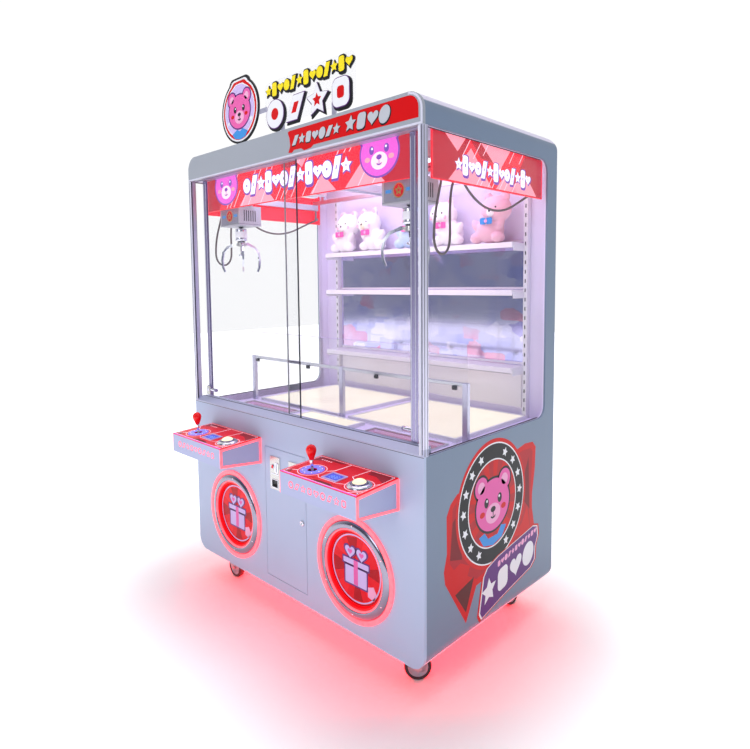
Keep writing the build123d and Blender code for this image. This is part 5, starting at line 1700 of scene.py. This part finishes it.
wires = [
    cord(
        "supply_cable_" + side, [(sign * CABLE_X, FRONT + c / 1000, z / 1000) for c, z in CABLE], 0.0044,
        "cable",
    )
    for side, sign in SIDES
]
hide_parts("festoon_cables")
for side, sign in SIDES:
    # the hoist line from the trolley down to the claw
    line_x, line_y = sign * CLAW_X, CLAW_Y
    line = cord(
        "hoist_line_" + side,
        [(line_x, line_y, MOTOR_TOP - (MOTOR_TOP - CLAW_TOP) * n / 20) for n in range(21)], 0.0015, "cord",
    )
    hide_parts("hoist_cord_" + side)
for side, sign in SIDES:
    x = sign * CABLE_X
    boxes(
        "cable_anchor_" + side,
        [
            ((x - 0.007, FRONT + 0.748, 1.781), (x + 0.007, FRONT + 0.764, 1.795)),
            ((x - 0.004, FRONT + 0.749, 1.795), (x + 0.004, FRONT + 0.757, 1.834))
        ],
        "grey_plastic", "cabinet", 0.0015
    )
    lathe(
        "cable_gland_" + side, mm(((4.5, 0), (8, 0), (8, -6), (6.4, -9), (5.2, -12), (4.5, -12))),
        Matrix.Translation((x, FRONT + 0.15, 1.786)), "black_plastic", "gantry_bridge_" + side, 28
    )

# ---- casters ---------------------------------------------------------------
TYRE = (
    (37.0, -13.5), (40, -14.6), (45.5, -14.4), (48.8, -11.2), (49.9, -6), (50, 0), (49.9, 6), (48.8, 11.2),
    (45.5, 14.4), (40, 14.6), (37.0, 13.5)
)
HUB = (
    (6.1, -15), (11, -15), (12.5, -13.5), (13, -9), (28, -6), (34, -9), (37.2, -12.5), (37.2, 12.5),
    (34, 9), (28, 6), (13, 9), (12.5, 13.5), (11, 15), (6.1, 15)
)
NUT = mm(((0, 6.8), (4, 6.6), (4.8, 6), (5.2, 4.6), (8.8, 4.4), (9.2, 0), (0, 0)))
for node, body, centre, axis in (
    (
        "front_wheel_left", "wheel_left", (-FRONT_CASTER[0] + CASTER_TRAIL, FRONT_CASTER[1], WHEEL_R),
        (0, 1, 0)
    ),
    (
        "front_wheel_right", "wheel_right",
        (
            FRONT_CASTER[0] + CASTER_TRAIL * math.sqrt(0.5),
            FRONT_CASTER[1] + CASTER_TRAIL * math.sqrt(0.5), WHEEL_R
        ),
        (0.7071, -0.7071, 0)
    ),
    ("rear_wheel_left", "rolling_rear_left", (-REAR_CASTER[0], REAR_CASTER[1], WHEEL_R), (1, 0, 0)),
    ("rear_wheel_right", "rolling_rear_right", (*REAR_CASTER, WHEEL_R), (1, 0, 0)),
):
    turn = Matrix.Translation(centre) @ Vector(axis).to_track_quat("Z", "Y").to_matrix().to_4x4()
    tyre = lathe(node + "_tyre", mm(TYRE), turn, "rubber", body, 72)
    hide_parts(node)
    lathe(node + "_hub", mm(HUB), turn, "light_plastic", body, 56)
    for end in (-1, 1):
        bm = bmesh.new()
        for k in range(8):
            a = 2 * math.pi * k / 8
            add_box(bm, (0.0145, -0.0014, 0.0), (0.0335, 0.0014, 0.0022))
            bm.verts.ensure_lookup_table()
            bmesh.ops.rotate(bm, cent=(0, 0, 0), matrix=Matrix.Rotation(a, 3, "Z"), verts=bm.verts[-8:])
        finish_mesh("%s_ribs_%d" % (node, end + 1), bm, "light_plastic", body, 0.0005,
                    matrix=turn @ Matrix.Translation((0, 0, end * 0.0078 - 0.0011)))
for (side, sign), heading in zip(SIDES, (0, 45)):
    x, y, body = sign * FRONT_CASTER[0], FRONT_CASTER[1], "caster_" + side
    lathe(
        "swivel_race_" + side,
        mm(
            (
                (0, 121), (30, 121), (32.5, 119), (33, 114.5), (31.5, 112.5), (33, 110.5), (32.5, 106.5),
                (28, 105), (0, 105)
            )
        ),
        Matrix.Translation((x, y, 0)), "zinc", body, 48
    )
    t = math.radians(heading)
    hub = Vector((x + CASTER_TRAIL * math.cos(t), y + CASTER_TRAIL * math.sin(t), WHEEL_R))
    across = Vector((math.sin(t), -math.cos(t), 0))
    for end in (-1, 1):
        bolt = Matrix.Translation(
            hub + across * end * 0.0205
        ) @ (across * end).to_track_quat("Z", "Y").to_matrix().to_4x4()
        lathe("axle_nut_%s_%d" % (side, end + 1), NUT,
              bolt, "zinc", body, 6 if end > 0 else 24)
for sign in (-1, 1):
    for end in (-1, 1):
        axis = Vector((end, 0, 0))
        bolt = Matrix.Translation(
            (sign * REAR_CASTER[0] + end * 0.0205, REAR_CASTER[1], WHEEL_R)
        ) @ axis.to_track_quat("Z", "Y").to_matrix().to_4x4()
        lathe("rear_nut_%d_%d" % (sign + 1, end + 1), NUT,
              bolt, "zinc", "cabinet", 24)
for n, (x, y) in enumerate([(sign * x, y) for x, y in (FRONT_CASTER, REAR_CASTER) for sign in (-1, 1)]):
    for k, (dx, dy) in enumerate(((-0.043, -0.043), (0.043, -0.043), (-0.043, 0.043), (0.043, 0.043))):
        lathe(
            "plate_bolt_%d_%d" % (n, k),
            [(0, -0.0048), (0.0062, -0.0046), (0.0068, -0.0035), (0.0068, 0.001), (0, 0.001)],
            Matrix.Translation((x + dx, y + dy, 0.1208)), "zinc", "cabinet", 6
        )

# ---- lights on the object --------------------------------------------------
dress("led_strips", "led_strip", 0.0008)

# ---- floor, light and camera -----------------------------------------------
bm = bmesh.new()
bmesh.ops.create_grid(bm, x_segments=1, y_segments=1, size=14.0)
floor = finish_mesh("floor", bm, floor_paint(), None)

world = bpy.data.worlds.new("studio")
world.use_nodes = True
sky = world.node_tree
coord = sky.nodes.new("ShaderNodeTexCoord")
towards = vector_step(sky, "DOT_PRODUCT", coord.outputs["Generated"], (-0.69, 0.72, 0.0))
sweep = spread(sky, towards.outputs["Value"], 0.0, 1.0, -0.1, 0.5, smooth=True)
mix_color(sky, sweep, (0.2, 0.22, 0.27), (1.0, 1.0, 1.0), sky.nodes["Background"].inputs["Color"])
sky.nodes["Background"].inputs["Strength"].default_value = 1.02
scene.world = world


def area(name, spot, aim, size, energy, color=(1, 1, 1), size_y=None):
    """A soft area lamp at spot that shines at aim."""
    data = bpy.data.lights.new(name, "AREA")
    data.energy = energy
    data.color = color
    data.size = size
    if size_y:
        data.shape = "RECTANGLE"
        data.size_y = size_y
    obj = bpy.data.objects.new(name, data)
    obj.location = spot
    obj.rotation_mode = "QUATERNION"
    obj.rotation_quaternion = (Vector(aim) - Vector(spot)).to_track_quat("-Z", "Y")
    obj.visible_camera = False
    scene.collection.objects.link(obj)
    return obj


area("key", (0.7, -4.6, 2.9), (0, 0, 1.0), 2.2, 54)
area("side_fill", (4.4, 0.9, 2.4), (0.7, 0.1, 1.1), 2.0, 9)
area("top", (0.0, -0.2, 4.8), (0, 0, 0), 4.0, 60)
area("cabinet_light", (0.0, 0.08, 1.985), (0.0, 0.08, 0.8), 1.2, 8, (0.82, 0.74, 1.0), 0.6)
area("under_glow", (0.0, 0.09, 0.112), (0.0, 0.09, 0.0), 1.25, 38, (1.0, 0.012, 0.018), 0.75)

AZ, DOWN, ROLL = math.radians(43.945), math.radians(4.426), math.radians(-0.522)
look = Vector((-math.sin(AZ) * math.cos(DOWN), math.cos(AZ) * math.cos(DOWN), -math.sin(DOWN)))
right = Vector((math.cos(AZ), math.sin(AZ), 0))
up = Vector((-math.sin(AZ) * math.sin(DOWN), math.cos(AZ) * math.sin(DOWN), math.cos(DOWN)))
cam_x = right * math.cos(ROLL) + up * math.sin(ROLL)
cam_y = up * math.cos(ROLL) - right * math.sin(ROLL)
camera = bpy.data.objects.new("camera", bpy.data.cameras.new("camera"))
camera.data.sensor_width = 36.0
camera.data.lens = 28.29
camera.data.shift_y = -0.0602
eye = (1.9, -1.784, 1.424)
camera.matrix_world = Matrix(
    [(x, y, -z, e) for x, y, z, e in zip(cam_x, cam_y, look, eye)] + [(0, 0, 0, 1)]
)
scene.collection.objects.link(camera)
scene.camera = camera
